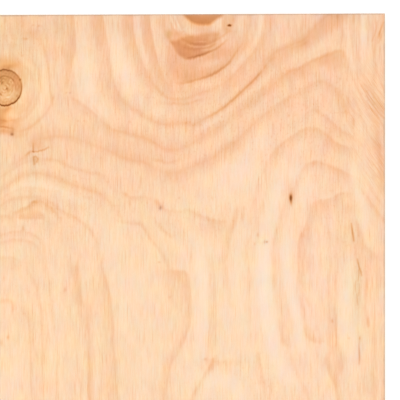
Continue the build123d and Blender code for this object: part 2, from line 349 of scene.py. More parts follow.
# Thin lines in the dark parts: drop, half width, and the points along each with their strength.
FINE_LINES = {
    "stripe_1": (13, 1.0, [(171, 14), (174.3, 21), (176.5, 26), (180, 31.5, .6)]),
    "stripe_pale_1": (-11, 0.9, [(169.5, 14, .4), (172.3, 22, .9), (175, 28)]),
    "stripe_pale_2": (-11, 0.9, [(173.5, 14, .5), (177, 22), (179.5, 27, 1.1), (183, 32.5, .8)]),
    "stripe_2": (13, 1.0, [(176, 14), (178.5, 21), (181.5, 27), (184, 32, .8)]),
    "stripe_3": (12, 1.0, [(168, 14), (170, 22), (173, 28.5), (177, 33, .6)]),
    "stripe_4": (7, 0.9, [(180.5, 17), (182, 22.5), (183.5, 27)]),
    "crescent_edge": (16, 1.6, [(168, 37, .5), (170.2, 40, 1.1), (172, 43.5, .9), (174, 47),
        (176.5, 50.8, .9), (179.5, 54.3, 1.1), (183, 57.3, 1.1), (187, 59), (191, 58.8, .8)]),
    "inner_edge": (14, 1.2, [(184.5, 34.2, .6), (188.5, 36), (192.5, 36.4, .7)]),
    "fold_1": (16, 1.3, [(177.5, 32.8, .5), (180.5, 36.6, .9), (184, 40), (188.5, 42.4, 1.1),
        (192.5, 43.6, 1.1), (198.5, 44.6), (204, 44.4), (208, 43.4), (212, 41.6, .8), (216, 39.8, .9),
        (220, 37.8, 1.3), (223.2, 35.4, 1.9), (226, 33.2, 1.5), (230, 30.6, .9)]),
    "fold_1_inside": (12, 1.7, [(185.5, 40, .5), (190, 41.2), (194, 43), (199, 43.6, .8), (204, 43, .4)]),
    "bright_streak": (-24, 0.9, [(192, 41.7, .4), (197, 41.6, .7), (201, 41.8), (205.5, 41.6, .9)]),
    "bright_fold": (-18, 0.9, [(187.5, 44.8, .8), (191.5, 46), (197, 46.8), (203, 46.6), (208.5, 45.6),
        (213, 43.8, .8), (217, 42, .5)]),
    "fold_2": (13, 1.1, [(184.5, 47.6, .8), (188.5, 48.4, .7), (193.5, 49), (198.5, 49),
        (203.5, 48.4, 1.2), (208, 47.2, 1.2), (212, 45.4, .9), (216, 43.8, .6)]),
    "bright_under": (-13, 1.0, [(201.5, 50, .6), (205, 49.7), (208, 49.8, .9), (211.5, 48.8, .5)]),
    "crescent_floor": (46, 1.3, [(188, 57.8, .5), (192, 57.2, .8), (196.5, 56.2, 1.1),
        (201.5, 54.9, 1.3), (205, 53.6, 1.2), (208.5, 52, 1.4), (211.5, 50.7, 1.1), (214.5, 49.7, 1.1),
        (218, 47.4, .9), (221, 45, .8), (223.5, 43, .8), (226.5, 40, .5)]),
    "nest_ray_1": (9, 1.1, [(239, 47, .5), (235.5, 52), (232.5, 57, .8), (229, 61.5, .5)]),
    "nest_ray_2": (8, 1.1, [(236, 47, .5), (233, 51.5), (230.5, 55, .7)]),
    "knot_shadow": (32, 2.5, [(0, 68.5, .5), (3, 67.3, .8), (7, 66.5), (11, 66.3, .8), (15, 65, .3)]),
    "knot_floor": (52, 1.1, [(-14, 126), (-3, 126.6), (3.5, 126.8, 1.1), (8, 127.6, .7),
        (12, 128.5, .5), (15, 129.4, .2)]),
    "knot_floor_2": (20, 1.0, [(-14, 119.6), (0, 120), (7, 121), (13, 120.3, .8), (18, 118.7, .6),
        (23, 115.5, .5), (28, 110, .5)]),
    "fan_1": (10, 0.8, [(366, 76, .4), (370, 86, .8), (375.5, 94), (381, 101), (385, 105.5)]),
    "fan_2": (18, 0.8, [(366, 85, .6), (370.5, 92.5), (376, 99.5), (381, 105.5), (385, 110)]),
    "fan_3": (25, 0.8, [(367, 91, .8), (371, 97.5), (376, 104), (381, 110), (385, 114.5)]),
    "fan_4": (26, 0.8, [(366.5, 95.5, .7), (370, 101.5), (375, 108), (380, 114), (385, 119)]),
    "fan_5": (20, 0.8, [(366, 101, .6), (370, 107.5), (374.5, 113.5), (379, 119, .7)]),
    "fan_6": (15, 0.8, [(366, 110, .6), (369.5, 116), (374, 122, .8), (378.5, 127, .5)]),
    "fan_7": (15, 0.8, [(351, 73, .5), (355, 83, .8), (359.5, 93), (364, 102, .7), (368, 109, .5)]),
    "fan_8": (15, 0.8, [(355, 71, .6), (359, 80), (364, 90), (368, 97, .5)]),
    "fan_9": (18, 0.9, [(376, 62, .4), (378, 74, .7), (381.5, 84), (385, 92)]),
    "side_slash_1": (44, 1.0, [(383.5, 22, .5), (381.5, 27), (379.5, 33, 1.2), (378.5, 38, .6)]),
    "side_slash_2": (32, 0.9, [(382.5, 31, .6), (381, 37), (378.5, 43, .6)]),
    "side_slash_3": (28, 0.9, [(377.5, 21, .5), (376.5, 28, .8), (374.5, 35), (372, 41, .7)]),
    "resin_arm": (56, 0.9, [(32.8, 151.6), (36, 151.8), (40, 150.9), (44, 149.6, .9), (48.5, 147.2, .7)]),
    "arc_1_low": (11, 1.6, [(-6, 180, .6), (4, 175), (14, 168.5), (25, 162.5), (38, 159),
        (50, 158.5, .6)]),
    "arc_3_low": (9, 1.6, [(-6, 202, .7), (6, 196), (18, 189.5), (28, 187.5), (42, 189), (56, 192),
        (70, 195, .7)]),
    "foot_1_upper": (12, 1.4, [(90, 101, .5), (94, 107), (99, 113.5, 1.1), (105, 120), (111, 126, .6)]),
    "resin_tail": (52, 1.3, [(26, 155.3, .4), (28.8, 152.8), (31, 151.6, .6)]),
    "resin_stem": (66, 0.9, [(33.2, 143, .4), (33.2, 147, .9), (33.3, 151.4, 1.1)]),
    "resin_bar": (44, 1.0, [(33.6, 156.6, .8), (33.7, 161), (34.2, 164.6, .9)]),
    "resin_loop": (34, 0.9, [(34.5, 156.6), (37, 157.2), (38, 159.5), (36.8, 162)]),
    "crack_1": (66, 0.8, [(351.2, 223.5, .7), (352, 229), (353, 235, 1.1), (353.8, 241, .9)]),
    "crack_2": (62, 0.8, [(357.3, 259, .7), (358, 263, 1.1), (359.3, 268), (360.8, 272, 1.1),
        (361.6, 276, .7)]),
    "crack_3_north": (40, 0.7, [(358.6, 270, .8), (358.8, 276, .9), (358, 281, .5)]),
    "crack_3_west": (38, 0.7, [(355.7, 281, .6), (355.2, 286), (355.8, 292, .8)]),
    "crack_3_east": (34, 0.7, [(359.2, 284, .7), (359.4, 290, .9), (358.4, 296, .6)]),
    "crack_3_south": (36, 0.7, [(356.6, 294, .8), (357.2, 299), (357.6, 305, .7)]),
    "crack_4": (56, 0.8, [(359.8, 336.5, .4), (359.8, 338.2, 1.2), (359.5, 341, .4), (359, 345, .7),
        (359.3, 352), (359.6, 358, 1.1), (359.2, 364, .7)]),
    "strip_side": (16, 0.8, [(336.3, 315, .9), (336.4, 325), (336.2, 338, .8), (336.3, 350, .4)]),
    "top_lines_1": (24, 0.8, [(331.5, 14), (331.8, 22, .7), (331.4, 31, .9), (331.6, 36, .4)]),
    "top_lines_2": (26, 0.8, [(337.6, 14), (337.4, 22), (337.7, 30, .5)]),
    "top_lines_3": (24, 0.8, [(342.4, 16, .6), (342.2, 24, .9), (342.5, 33, .8), (341.8, 42, .4)]),
    "top_lines_4": (30, 0.9, [(353.8, 14), (353.6, 19, .8), (353.8, 24, .4)]),
    "top_lines_5": (20, 0.8, [(346.3, 14), (346.5, 24, .6)]),
    "top_lines_6": (18, 0.8, [(359.8, 14, .9), (359.6, 22), (359.9, 34, .6), (359.6, 50, .3)]),
    "top_lines_7": (18, 0.8, [(368.6, 16, .6), (368.4, 26), (368.2, 40, .7)]),
}

# Pale early wood between the lines, in the same form.
PALE_LINES = {
    "long_strip": (22, 0, 10, 10, [(278, 178, .4), (277, 190, .8), (274, 204), (270, 216, .8),
        (267, 228, .7), (266, 240, .6), (264, 252, .9), (264, 266, 1.1), (264, 280, 1.2),
        (265, 294, 1.2), (266, 308, 1.1), (269, 322, 1.1), (271, 335, 1), (274, 350, .8),
        (279, 365, .7), (287, 380, .5)]),
    "inner_strip": (19, 0, 7, 7, [(289, 226, .4), (287, 240, .8), (286, 254, 1.1), (286, 266),
        (288, 280), (291, 295), (295, 308), (298.5, 322), (299, 336, .9), (302, 348, .6)]),
    "crack_strip": (17, 0, 11, 11, [(352, 256, .4), (349, 268, .6), (347, 282, .8), (346, 296, .9),
        (346, 310, .9), (346, 325, .9), (350, 340, .7), (352, 360, .4), (352, 385, .4)]),
    "middle_strip": (14, 0, 10, 7, [(198, 246, .6), (200, 262, .9), (202, 280), (203, 300, 1.1),
        (201, 320), (200, 338), (198, 356, .6)]),
    "thin_strip": (10, 0, 6, 6, [(238, 222, .4), (240, 236, .9), (238, 252, .8), (238, 270),
        (238, 290, .9), (240, 305, .4)]),
    "edge_strip": (17, 0, 5, 5, [(262, 10), (262, 22, .9), (260, 32, .8), (255, 41, .6), (249, 50, .4),
        (243, 57, .5)]),
    "between_bands": (12, 0, 4, 4, [(138, 18, .3), (139, 30, .8), (140.5, 42), (143.5, 54),
        (148, 66, .6)]),
    "nest_glow": (19, 0, 5, 5, [(200, 67, .7), (207, 64.5, 1.1), (214, 62.5), (221, 59, .5)]),
    "under_nest": (9, 0, 4, 4, [(189, 89, .5), (197, 86.5, .9), (206, 84), (214, 81.5, .9),
        (224, 75, .6), (233, 67, .6), (241, 58, .6)]),
    "under_sickle": (9, 0, 4, 4, [(282, 65.5, .6), (275, 70, .5), (268, 76, 1), (260, 85, 1.1),
        (249, 93), (241, 101, .8), (231, 109, .8), (220, 118, .9), (209, 124), (197, 131, .6)]),
    "above_peak": (8, 0, 5, 5, [(288, 64, .4), (298, 56.5, .7), (308, 51.5, .9), (320, 46),
        (332, 42, .8), (340, 41, .4)]),
    "under_peak": (4, 0, 4, 4, [(300, 76, .3), (308, 72, .8), (316, 69.5), (325, 74, .7), (334, 79.5),
        (341, 87), (346, 95, .6)]),
    "west_hollow": (22, 0, 13, 13, [(82, 24, .2), (84, 44, .6), (85, 60), (86, 76, 1.1), (87, 90, 1.1),
        (92, 101, .8), (101, 110, .8), (110, 118, .4)]),
    "next_hollow": (22, 0, 13, 15, [(112, 16, .2), (114, 32, .5), (117, 48, .9), (122, 62),
        (126, 74, 1.1), (131, 86, .9), (139, 97, .4)]),
    "below_arc_3": (15, 0, 6, 7, [(12, 190, .5), (22, 185, .9), (35, 183.5, 1.1), (48, 186),
        (60, 192, 1.1), (72, 197, .8), (84, 202, .4)]),
    "right_pale_1": (15, 0, 3.5, 3.5, [(347.5, 20, .4), (347.5, 34, .8), (349, 48, 1), (351, 60, .9),
        (354, 72, .6), (358, 84, .3)]),
    "right_pale_2": (17, 0, 4.5, 4.5, [(363, 12, .9), (363.5, 26, 1.1), (363, 40, 1.1), (363, 52, .9),
        (362, 64, .5)]),
    "flank_pale": (14, 0, 8, 8, [(352, 162, .5), (356, 180), (361, 200), (366, 222, .8), (370, 240, .5)]),
    "low_pale": (12, 0, 10, 10, [(205, 378, .3), (222, 380), (236, 388), (246, 424)]),
    "between_rings": (9, 0, 4, 4, [(42, 52, .4), (44.5, 66, .9), (45.5, 80), (45, 94), (41, 106, .8),
        (33, 115, .5)]),
}

# Filled dark shapes: drop, width of the soft edge, and points round the outline.
DARK_AREAS = {
    "half_disc": (101, 4.5, [(183, 8), (184, 15.5), (189.5, 20.7), (196, 23.9), (203.5, 25.2),
        (210, 24.2), (214.5, 21), (218.5, 18.2), (222.5, 15.5), (223.5, 8)]),
    "half_disc_haze": (20, 6, [(190, 22), (204, 24.5), (211, 23.5), (209, 30), (203, 31), (195, 29)]),
    "crescent": (54, 5, [(170.5, 42), (175, 40.5), (181, 37.8), (187, 36.2), (197, 35), (206, 33.2),
        (213, 32), (219, 33.5), (217.5, 40), (213, 47), (208, 52.2), (199, 56.8), (188, 58.6),
        (179, 54), (173, 46)]),
    "crescent_deep": (22, 6, [(179, 48), (190, 48), (204, 51), (207, 53), (198, 57), (187, 58.5),
        (180, 54)]),
    "crescent_haze": (25, 6, [(166, 32), (174, 30.5), (186, 33), (197, 33), (205, 31.5), (210, 33),
        (208, 42), (200, 50), (182, 48), (170, 42)]),
    "under_crescent": (27, 9, [(169, 46), (182, 54), (200, 57), (214, 50), (224, 46), (230, 52),
        (216, 64), (200, 72), (186, 81), (174, 74), (168, 62)]),
    "nest_shade": (12, 9, [(216, 33), (230, 28), (241, 38), (236, 52), (222, 60), (212, 54)]),
    "below_knot_dark": (64, 6, [(-20, 106), (4, 107), (9, 106), (11, 108.5), (7.5, 112), (5.5, 117),
        (4, 124), (-20, 126)]),
    "below_knot_glow": (24, 6, [(-20, 115), (4, 116), (14, 119), (20, 124), (14, 133), (4, 133),
        (-20, 133)]),
    "above_knot_glow": (21, 6, [(-20, 56), (8, 55), (18, 58), (21, 64), (13, 69.5), (-20, 69.5)]),
    "pin_shade": (26, 5, [(222, 16), (229, 14), (237, 10), (236, 20), (233, 28), (226, 32), (222, 26)]),
    "peak_shade": (13, 8, [(318, 60), (328, 57), (338, 54), (344, 58), (344, 66), (334, 70), (324, 68)]),
    "limb_shade": (16, 8, [(316, 26), (324, 16), (332, 8), (344, 8), (342, 22), (334, 30), (324, 36),
        (312, 38)]),
    "band_1_shade": (8, 4, [(62, 5), (72, 5), (75, 35), (74, 52), (70, 66), (66, 76), (64, 60),
        (62, 30)]),
    "band_2_shade": (7, 5, [(90, 5), (100, 5), (103, 24), (106, 40), (100, 46), (93, 36)]),
    "knot_surround": (24, 5, [(-20, 60), (6, 59), (16, 61.5), (23, 67), (27.5, 75), (26.5, 83),
        (22, 89), (8, 92), (-20, 92)]),
    "resin_blob": (26, 2.5, [(32, 158), (33.5, 156.2), (37, 156.2), (38.6, 158.6), (37.3, 162),
        (35.5, 164.6), (33.6, 164.4), (33.5, 160.5)]),
    "orange_heart": (16, 4, [(20, 215), (28, 212.5), (36, 210), (42, 213), (45, 218), (32, 219.5),
        (20, 219.5)]),
    "mid_band_block": (7, 4, [(70, 268), (78, 268), (80, 284), (81, 303), (74, 303), (72, 286)]),
    "hook_block": (9, 6, [(168, 271), (187, 272), (190, 290), (190, 318), (182, 312), (172, 304),
        (166, 290)]),
    "step_block": (3, 5, [(210, 262), (224, 262), (228, 280), (224, 304), (220, 340), (210, 344)]),
    "right_grey_block": (3, 5, [(304, 262), (328, 262), (328, 338), (312, 340), (306, 330), (303, 300)]),
    "long_line_block": (5, 5, [(277, 262), (284, 262), (288, 290), (292, 318), (293, 344), (287, 346),
        (283, 330), (279, 300)]),
    "curved_line_block": (9, 4, [(300, 240), (312, 236), (312, 262), (306, 274), (300, 274)]),
    "crack_grey": (10, 6, [(356, 222), (359, 224), (364, 244), (374, 256), (372, 270), (362, 270),
        (358, 250)]),
    "crack_bundle": (8, 4, [(352, 270), (361, 270), (361, 300), (358, 310), (354, 304)]),
    "strip_knot": (7, 4, [(328.5, 312), (336.5, 312), (336.5, 350), (328.5, 350)]),
    "right_blot": (9, 5, [(336, 88), (346, 92), (354, 106), (356, 126), (348, 124), (342, 112),
        (336, 100)]),
    "arrow_fill": (12, 7, [(327, 356), (334, 345), (341, 345), (344, 362), (340, 378), (336, 388),
        (332, 380), (326.5, 364)]),
    "shelf_block": (9, 5, [(304, 326), (312, 330), (312, 340), (306, 342)]),
}

# Wide soft areas: centre, half width, half height, and how much darker or paler they are.
PATCHES = {
    "the knot and its rings": [
        (20, 30, 45, 25, -10), (32, 33, 10, 5, -10), (34, 38, 8, 6, -7), (6, 74, 14, 12, -8),
        (45, 60, 20, 30, -2), (50, 74, 10, 18, 7), (5, 98, 10, 10, -6), (10, 98, 10, 7, 6),
        (30, 84, 8, 14, 6), (2, 118.5, 5, 4, 18), (4, 119, 4, 5, -4), (6, 111, 8, 5, -8),
        (6, 125.5, 8, 2.5, -8), (8, 128, 12, 6, -12), (15, 119, 9, 3, -10), (16, 108, 8, 5, -18),
        (18, 133, 6, 3, 8), (28, 134, 14, 10, -3), (30, 128, 12, 8, -7), (60, 112, 25, 20, 4),
    ],
    "the bands at the top left": [
        (90, 36, 5, 16, -7), (118, 28, 5, 20, -7), (123, 26, 4, 16, -8), (136, 26, 2.5, 14, 8),
        (145, 36, 4, 18, -6), (146, 42, 5, 14, -8), (149, 25, 2.5, 9, 6), (68, 69, 10, 10, 5),
        (100, 60, 9, 30, 3), (112, 60, 10, 26, 4), (157, 52, 12, 30, 4.5), (118, 104, 8, 8, -5),
        (76.5, 113.5, 2.5, 3.5, -6), (86, 120, 70, 30, -2.5), (150, 106, 18, 10, 6),
        (158, 113, 18, 5, 5),
    ],
    "the dark nest at the far end": [
        (160, 20, 5, 8, -5), (167, 40, 6, 8, -14), (168, 30, 6, 8, -7), (177, 34, 6, 3, -13),
        (182, 41.5, 6, 3, 16), (186, 20, 10, 8, -14), (188, 44, 10, 8, -5), (196, 31, 10, 3, -6),
        (204, 36, 8, 3, 10), (217, 25, 4, 4, 8), (231, 32, 6, 4, -11), (170, 46, 8, 14, 4),
        (172, 48, 7, 12, -6), (195, 75, 36, 12, -14), (206, 73.5, 12, 3, -7), (207, 56.5, 6, 2.5, -18),
        (210, 52, 4, 2, -10), (214, 45, 5, 3, -14), (224, 74, 20, 9, -7), (230, 62, 3, 3, -9),
        (232.5, 65, 3, 3, -7), (245, 56, 3, 2.5, -7), (248, 48, 8, 8, -6), (256, 46, 12, 16, -9),
        (163, 78, 14, 18, -12), (166, 80, 5, 6, 7), (192, 90, 14, 8, -5), (240, 76, 5, 5, 10),
        (250, 86, 18, 12, -7),
    ],
    "below the nest": [
        (180, 103, 5, 5, -5), (190, 104, 14, 8, -3), (190, 92, 30, 8, -8), (186, 117, 12, 12, -5),
        (187, 107, 9, 8, -9), (190, 128, 10, 6, -4), (197.5, 122, 3, 9, -6), (230, 110, 9, 7, -5),
        (250, 127, 12, 10, -6), (165, 156, 26, 7, -6), (168, 156, 20, 12, 2), (228, 147, 9, 7, -9),
        (232, 160, 12, 4, -8), (232, 148, 12, 10, -5), (240, 168, 20, 26, 18), (246, 166, 10, 12, 5),
    ],
    "the lines right of the nest": [
        (272, 20, 6, 7, -8), (292, 38, 10, 4, -7), (300, 32, 8, 10, -13), (312, 20, 5, 12, -6),
        (322, 44, 14, 6, 3), (328, 42, 12, 4, -8), (342, 20, 8, 8, -6), (343, 38, 5, 14, -6),
        (266, 64, 12, 9, -5), (272, 49, 5, 4, -8), (282, 68, 14, 7, -5), (300, 70, 60, 40, -4),
    ],
    "the humps at the right": [
        (341, 100, 4, 5, 9), (328, 130, 14, 8, -4), (262, 138, 14, 14, 12), (262, 145, 8, 10, 4),
        (301, 139, 13, 12, 2.5), (331, 135.5, 2.5, 4.5, -8), (280, 173, 30, 11, 3),
        (284, 172, 12, 14, 4), (288, 172, 16, 14, 5), (295, 165, 14, 34, 8), (304, 195, 8, 16, 8),
        (318, 186, 16, 9, 7), (302, 206, 8, 12, 5), (325, 197, 8, 3, 8), (332, 208, 12, 10, 4),
        (334, 210, 20, 8, -10), (341, 197, 4, 4, 7),
    ],
    "the right side": [
        (348, 28, 3, 3, -7), (352, 18, 10, 6, -9), (370, 38, 8, 20, 4), (378, 30, 12, 18, -3),
        (360, 57, 2.5, 12, -6), (362, 56, 3, 10, -8), (368, 101, 3, 4, -6), (365, 130, 8, 30, 4),
        (366, 106, 10, 22, 7), (374, 105, 13, 18, -10), (365, 142, 6, 7, -9), (378, 152, 10, 22, -12),
        (362, 172, 14, 24, 4), (368, 185, 10, 10, 5), (380, 185, 6, 15, -10), (349, 203, 4, 5, 12),
    ],
    "the arcs below the knot": [
        (16, 140, 14, 8, -2), (34, 146, 20, 8, -3), (39, 146, 9, 5, -12), (50, 137, 18, 9, -4),
        (60, 195, 12, 8, 2), (92, 170, 20, 9, 3), (27, 236, 6, 2, -7), (48, 228, 9, 8, -6),
        (66, 239, 3, 4, -10), (110, 235, 14, 26, 8),
    ],
    "the middle": [
        (130, 146, 14, 10, -4), (130, 150, 60, 14, -3.5), (143, 143, 5, 3, -10), (215, 182, 18, 14, 8),
        (240, 192, 40, 14, 5), (244, 193, 8, 6, -8), (122, 206, 12, 11, -3), (174, 206, 30, 11, 4),
        (178, 221, 4, 7, -10), (207, 205, 14, 7, 8), (132, 252, 18, 16, -5), (213, 227, 12, 7, -16),
        (229, 240, 10, 14, -4),
    ],
    "the left side of the lower half": [
        (4, 268, 10, 8, -4), (16, 266, 9, 5, -11), (20, 315, 6, 16, -7), (86, 306, 22, 22, -4),
        (92, 312, 2.5, 18, -7), (100, 300, 60, 80, -1.5), (35, 332, 3, 12, 8), (58, 320, 8, 60, 6),
        (78, 323, 2.5, 6, -6), (81, 320, 3, 8, -10), (106, 348, 26, 12, -2.5), (12, 380, 14, 30, 8),
        (33, 378, 4, 16, 8), (78, 380, 3, 9, -6), (82, 384, 3, 12, -8), (98, 378, 3, 14, 10),
        (100, 380, 8, 30, -5),
    ],
    "the middle of the lower half": [
        (122, 280, 12, 16, -2), (130, 280, 26, 60, 10), (158, 275, 4, 8, -8), (163, 262, 4, 20, -7),
        (195, 270, 20, 50, 6), (150, 312, 20, 16, -2.5), (178, 290, 10, 18, -4), (186, 308, 3, 10, 9),
        (222, 300, 18, 46, 3), (229, 312, 12, 14, -3), (180, 322, 3, 10, -6), (240, 316, 18, 22, 5),
        (248, 336, 3, 6, 10), (150, 366, 12, 10, 5), (188, 374, 12, 20, 6), (120, 378, 3, 14, -9),
        (130, 384, 24, 20, -4), (140, 385, 22, 30, 5), (204, 384, 10, 10, 6), (210, 385, 10, 12, 4),
        (230, 392, 30, 24, 5), (259, 385, 4, 8, 8),
    ],
    "the long lines of the lower half": [
        (262, 262, 72, 100, 3.5), (266, 276, 14, 40, 4), (308, 280, 20, 36, 5), (344, 270, 4, 30, -5),
        (308, 330, 4, 9, 8), (264, 348, 50, 12, 3), (290, 372, 16, 12, 6), (324, 372, 10, 16, 4),
        (268, 380, 10, 20, -2), (286, 390, 8, 10, 4), (298, 385, 4, 9, 12), (344, 382, 3, 20, -8),
    ],
    "the cracks and the lower right": [
        (348, 228, 3, 4, -10), (350, 245, 14, 16, -8), (355.5, 261, 2, 7, -7), (367, 267, 5, 8, 7),
        (377, 268, 4, 6, -8), (377, 270, 9, 28, -14), (348, 290, 10, 14, 5), (357, 294, 3, 10, 6),
        (360, 290, 14, 30, -4), (371, 310, 7, 14, 2.5), (354, 386, 26, 12, -3), (366, 384, 14, 20, -5),
    ],
}

# Where the wood is redder or yellower than its tone alone gives, in the same form.
WARM_AREAS = {
    "the knot and its rings": [
        (8, 65, 12, 4, 11), (6, 91, 8, 7, 5), (18, 92, 3, 10, -6), (30, 96, 22, 30, 3),
        (6, 112, 12, 10, 6), (6, 120, 14, 12, 7), (12, 134.5, 2, 2, -20),
    ],
    "the bands at the top left": [
        (70, 93, 1.2, 1.2, -12),
    ],
    "the dark nest at the far end": [
        (188, 39, 14, 6, 8), (192, 44, 24, 16, -2), (200, 28, 240, 16, -4), (200, 16, 190, 2.5, -5),
        (203, 23, 14, 4, 14),
    ],
    "below the nest": [
        (193, 139, 16, 12, 1.6),
    ],
    "the lines right of the nest": [
        (335, 15, 34, 7, -8),
    ],
    "the humps at the right": [
        (291, 197.5, 2.5, 5, -10),
    ],
    "the right side": [
        (382, 200, 3, 170, -4),
    ],
    "the arcs below the knot": [
        (34, 158, 5, 10, -8), (30, 212, 10, 5, 5), (40, 207, 40, 10, 1.2),
    ],
    "the middle": [
        (160.5, 208, 1.5, 2.5, -30), (257, 236, 3, 6, -7),
    ],
    "the left side of the lower half": [
        (30, 340, 60, 60, 3),
    ],
    "the middle of the lower half": [
        (170, 290, 60, 34, 1.2),
    ],
    "the long lines of the lower half": [
        (266, 242, 3, 2.5, -17),
    ],
    "the cracks and the lower right": [
        (358, 266, 2, 8, -7), (357.5, 288, 4, 22, -5), (373, 320, 8, 90, 3), (359.5, 352, 2.5, 14, -7),
    ],
}

# Where the wood is greener (above 0) or pinker (below 0), in the same form.
GREEN_AREAS = {
    "the knot and its rings": [
        (12, 60, 34, 70, 3.5), (3, 80, 8, 8, 4), (8, 86, 11, 15, 2.5), (16, 82, 4, 9, -3),
    ],
    "the bands at the top left": [
        (150, 50, 40, 50, -1),
    ],
    "the dark nest at the far end": [
        (168, 34, 4, 4, 6), (196, 46, 30, 18, -3), (198, 50, 18, 8, -1.5), (200, 74, 40, 20, -1.5),
    ],
    "below the nest": [
        (200, 160, 70, 30, -1.5),
    ],
    "the lines right of the nest": [
        (310, 90, 90, 110, -1.5),
    ],
    "the arcs below the knot": [
        (90, 128, 60, 30, -1.2), (36, 155, 10, 12, 3), (14, 190, 40, 40, 1.5),
    ],
    "the middle": [
        (150, 230, 60, 30, 1),
    ],
    "the left side of the lower half": [
        (80, 345, 90, 50, 1.2),
    ],
    "the middle of the lower half": [
        (225, 305, 22, 26, 0.9),
    ],
    "the long lines of the lower half": [
        (262, 240, 7, 6, 3), (333, 243, 12, 12, -1.2), (298, 298, 14, 36, 1.4),
        (306, 300, 30, 110, -2.5),
    ],
    "the cracks and the lower right": [
        (348, 280, 8, 60, 2.5), (370, 277, 9, 14, -2), (359, 290, 4, 70, 3),
    ],
}

# Where the fibres lean to the right as they come down.
SLANT_AREAS = {
    "the right side": [
        (368, 70, 8, 14, 0.3), (373, 100, 13, 28, 1.3), (352, 120, 8, 30, 0.6), (374, 165, 14, 34, 0.9),
    ],
}

# Where the lines cross the fibres and break up into short dark ticks.
TICK_AREAS = {
    "the knot and its rings": [
        (20, 40, 40, 30, 0.7),
    ],
    "below the nest": [
        (190, 100, 90, 70, 0.9),
    ],
    "the humps at the right": [
        (300, 110, 70, 60, 0.8), (340, 220, 40, 60, 0.5),
    ],
    "the arcs below the knot": [
        (60, 200, 60, 40, 0.8),
    ],
    "the middle": [
        (200, 220, 60, 24, 0.6),
    ],
    "the left side of the lower half": [
        (30, 300, 40, 60, 0.4),
    ],
    "the middle of the lower half": [
        (250, 380, 90, 24, 0.6),
    ],
}


def knot_tone(right, down):
    """The round knot at the left: a dark rim, a shaded top and collar, and fine broken rings."""
    dx = (right - KNOT_RIGHT) * KNOT_TALL / KNOT_WIDE
    dy = down - KNOT_DOWN
    far = np.hypot(dx, dy)
    side = dy / np.maximum(far, 1)
    inside = np.clip((KNOT_TALL - far) / 1.2, 0, 1)
    shaded = 26 * np.clip((-2 - dy) / 7, 0, 1)
    collar = 24 * np.clip((far - 10.5) / 3.5, 0, 1)
    broken = 0.5 + 0.5 * np.sin(dx * 0.62 + dy * 0.5 + 0.8)
    rings = 26 * np.sin(far * 2.05 + 0.6 * np.sin(dx * 0.9)) * broken * np.clip(1.3 - far / 15, 0, 1)
    lumps = 10 * np.sin(dx * 1.25 + 1.0) * np.sin(dy * 1.05 + dx * 0.4)
    inner_line = 20 * np.exp(-(((far - 11.5) / 0.8) ** 2)) * np.clip(0.6 - side, 0, 1)
    heart = -35 - np.maximum(shaded, collar) - inner_line + rings + lumps
    lower_rim = np.clip(0.3 + side, 0, 1)
    upper_rim = np.clip(-0.35 - side, 0, 1)
    rim = -(72 + 130 * lower_rim + 85 * upper_rim) * np.exp(-(((far - KNOT_TALL) / 0.85) ** 2))
    return inside * heart + rim


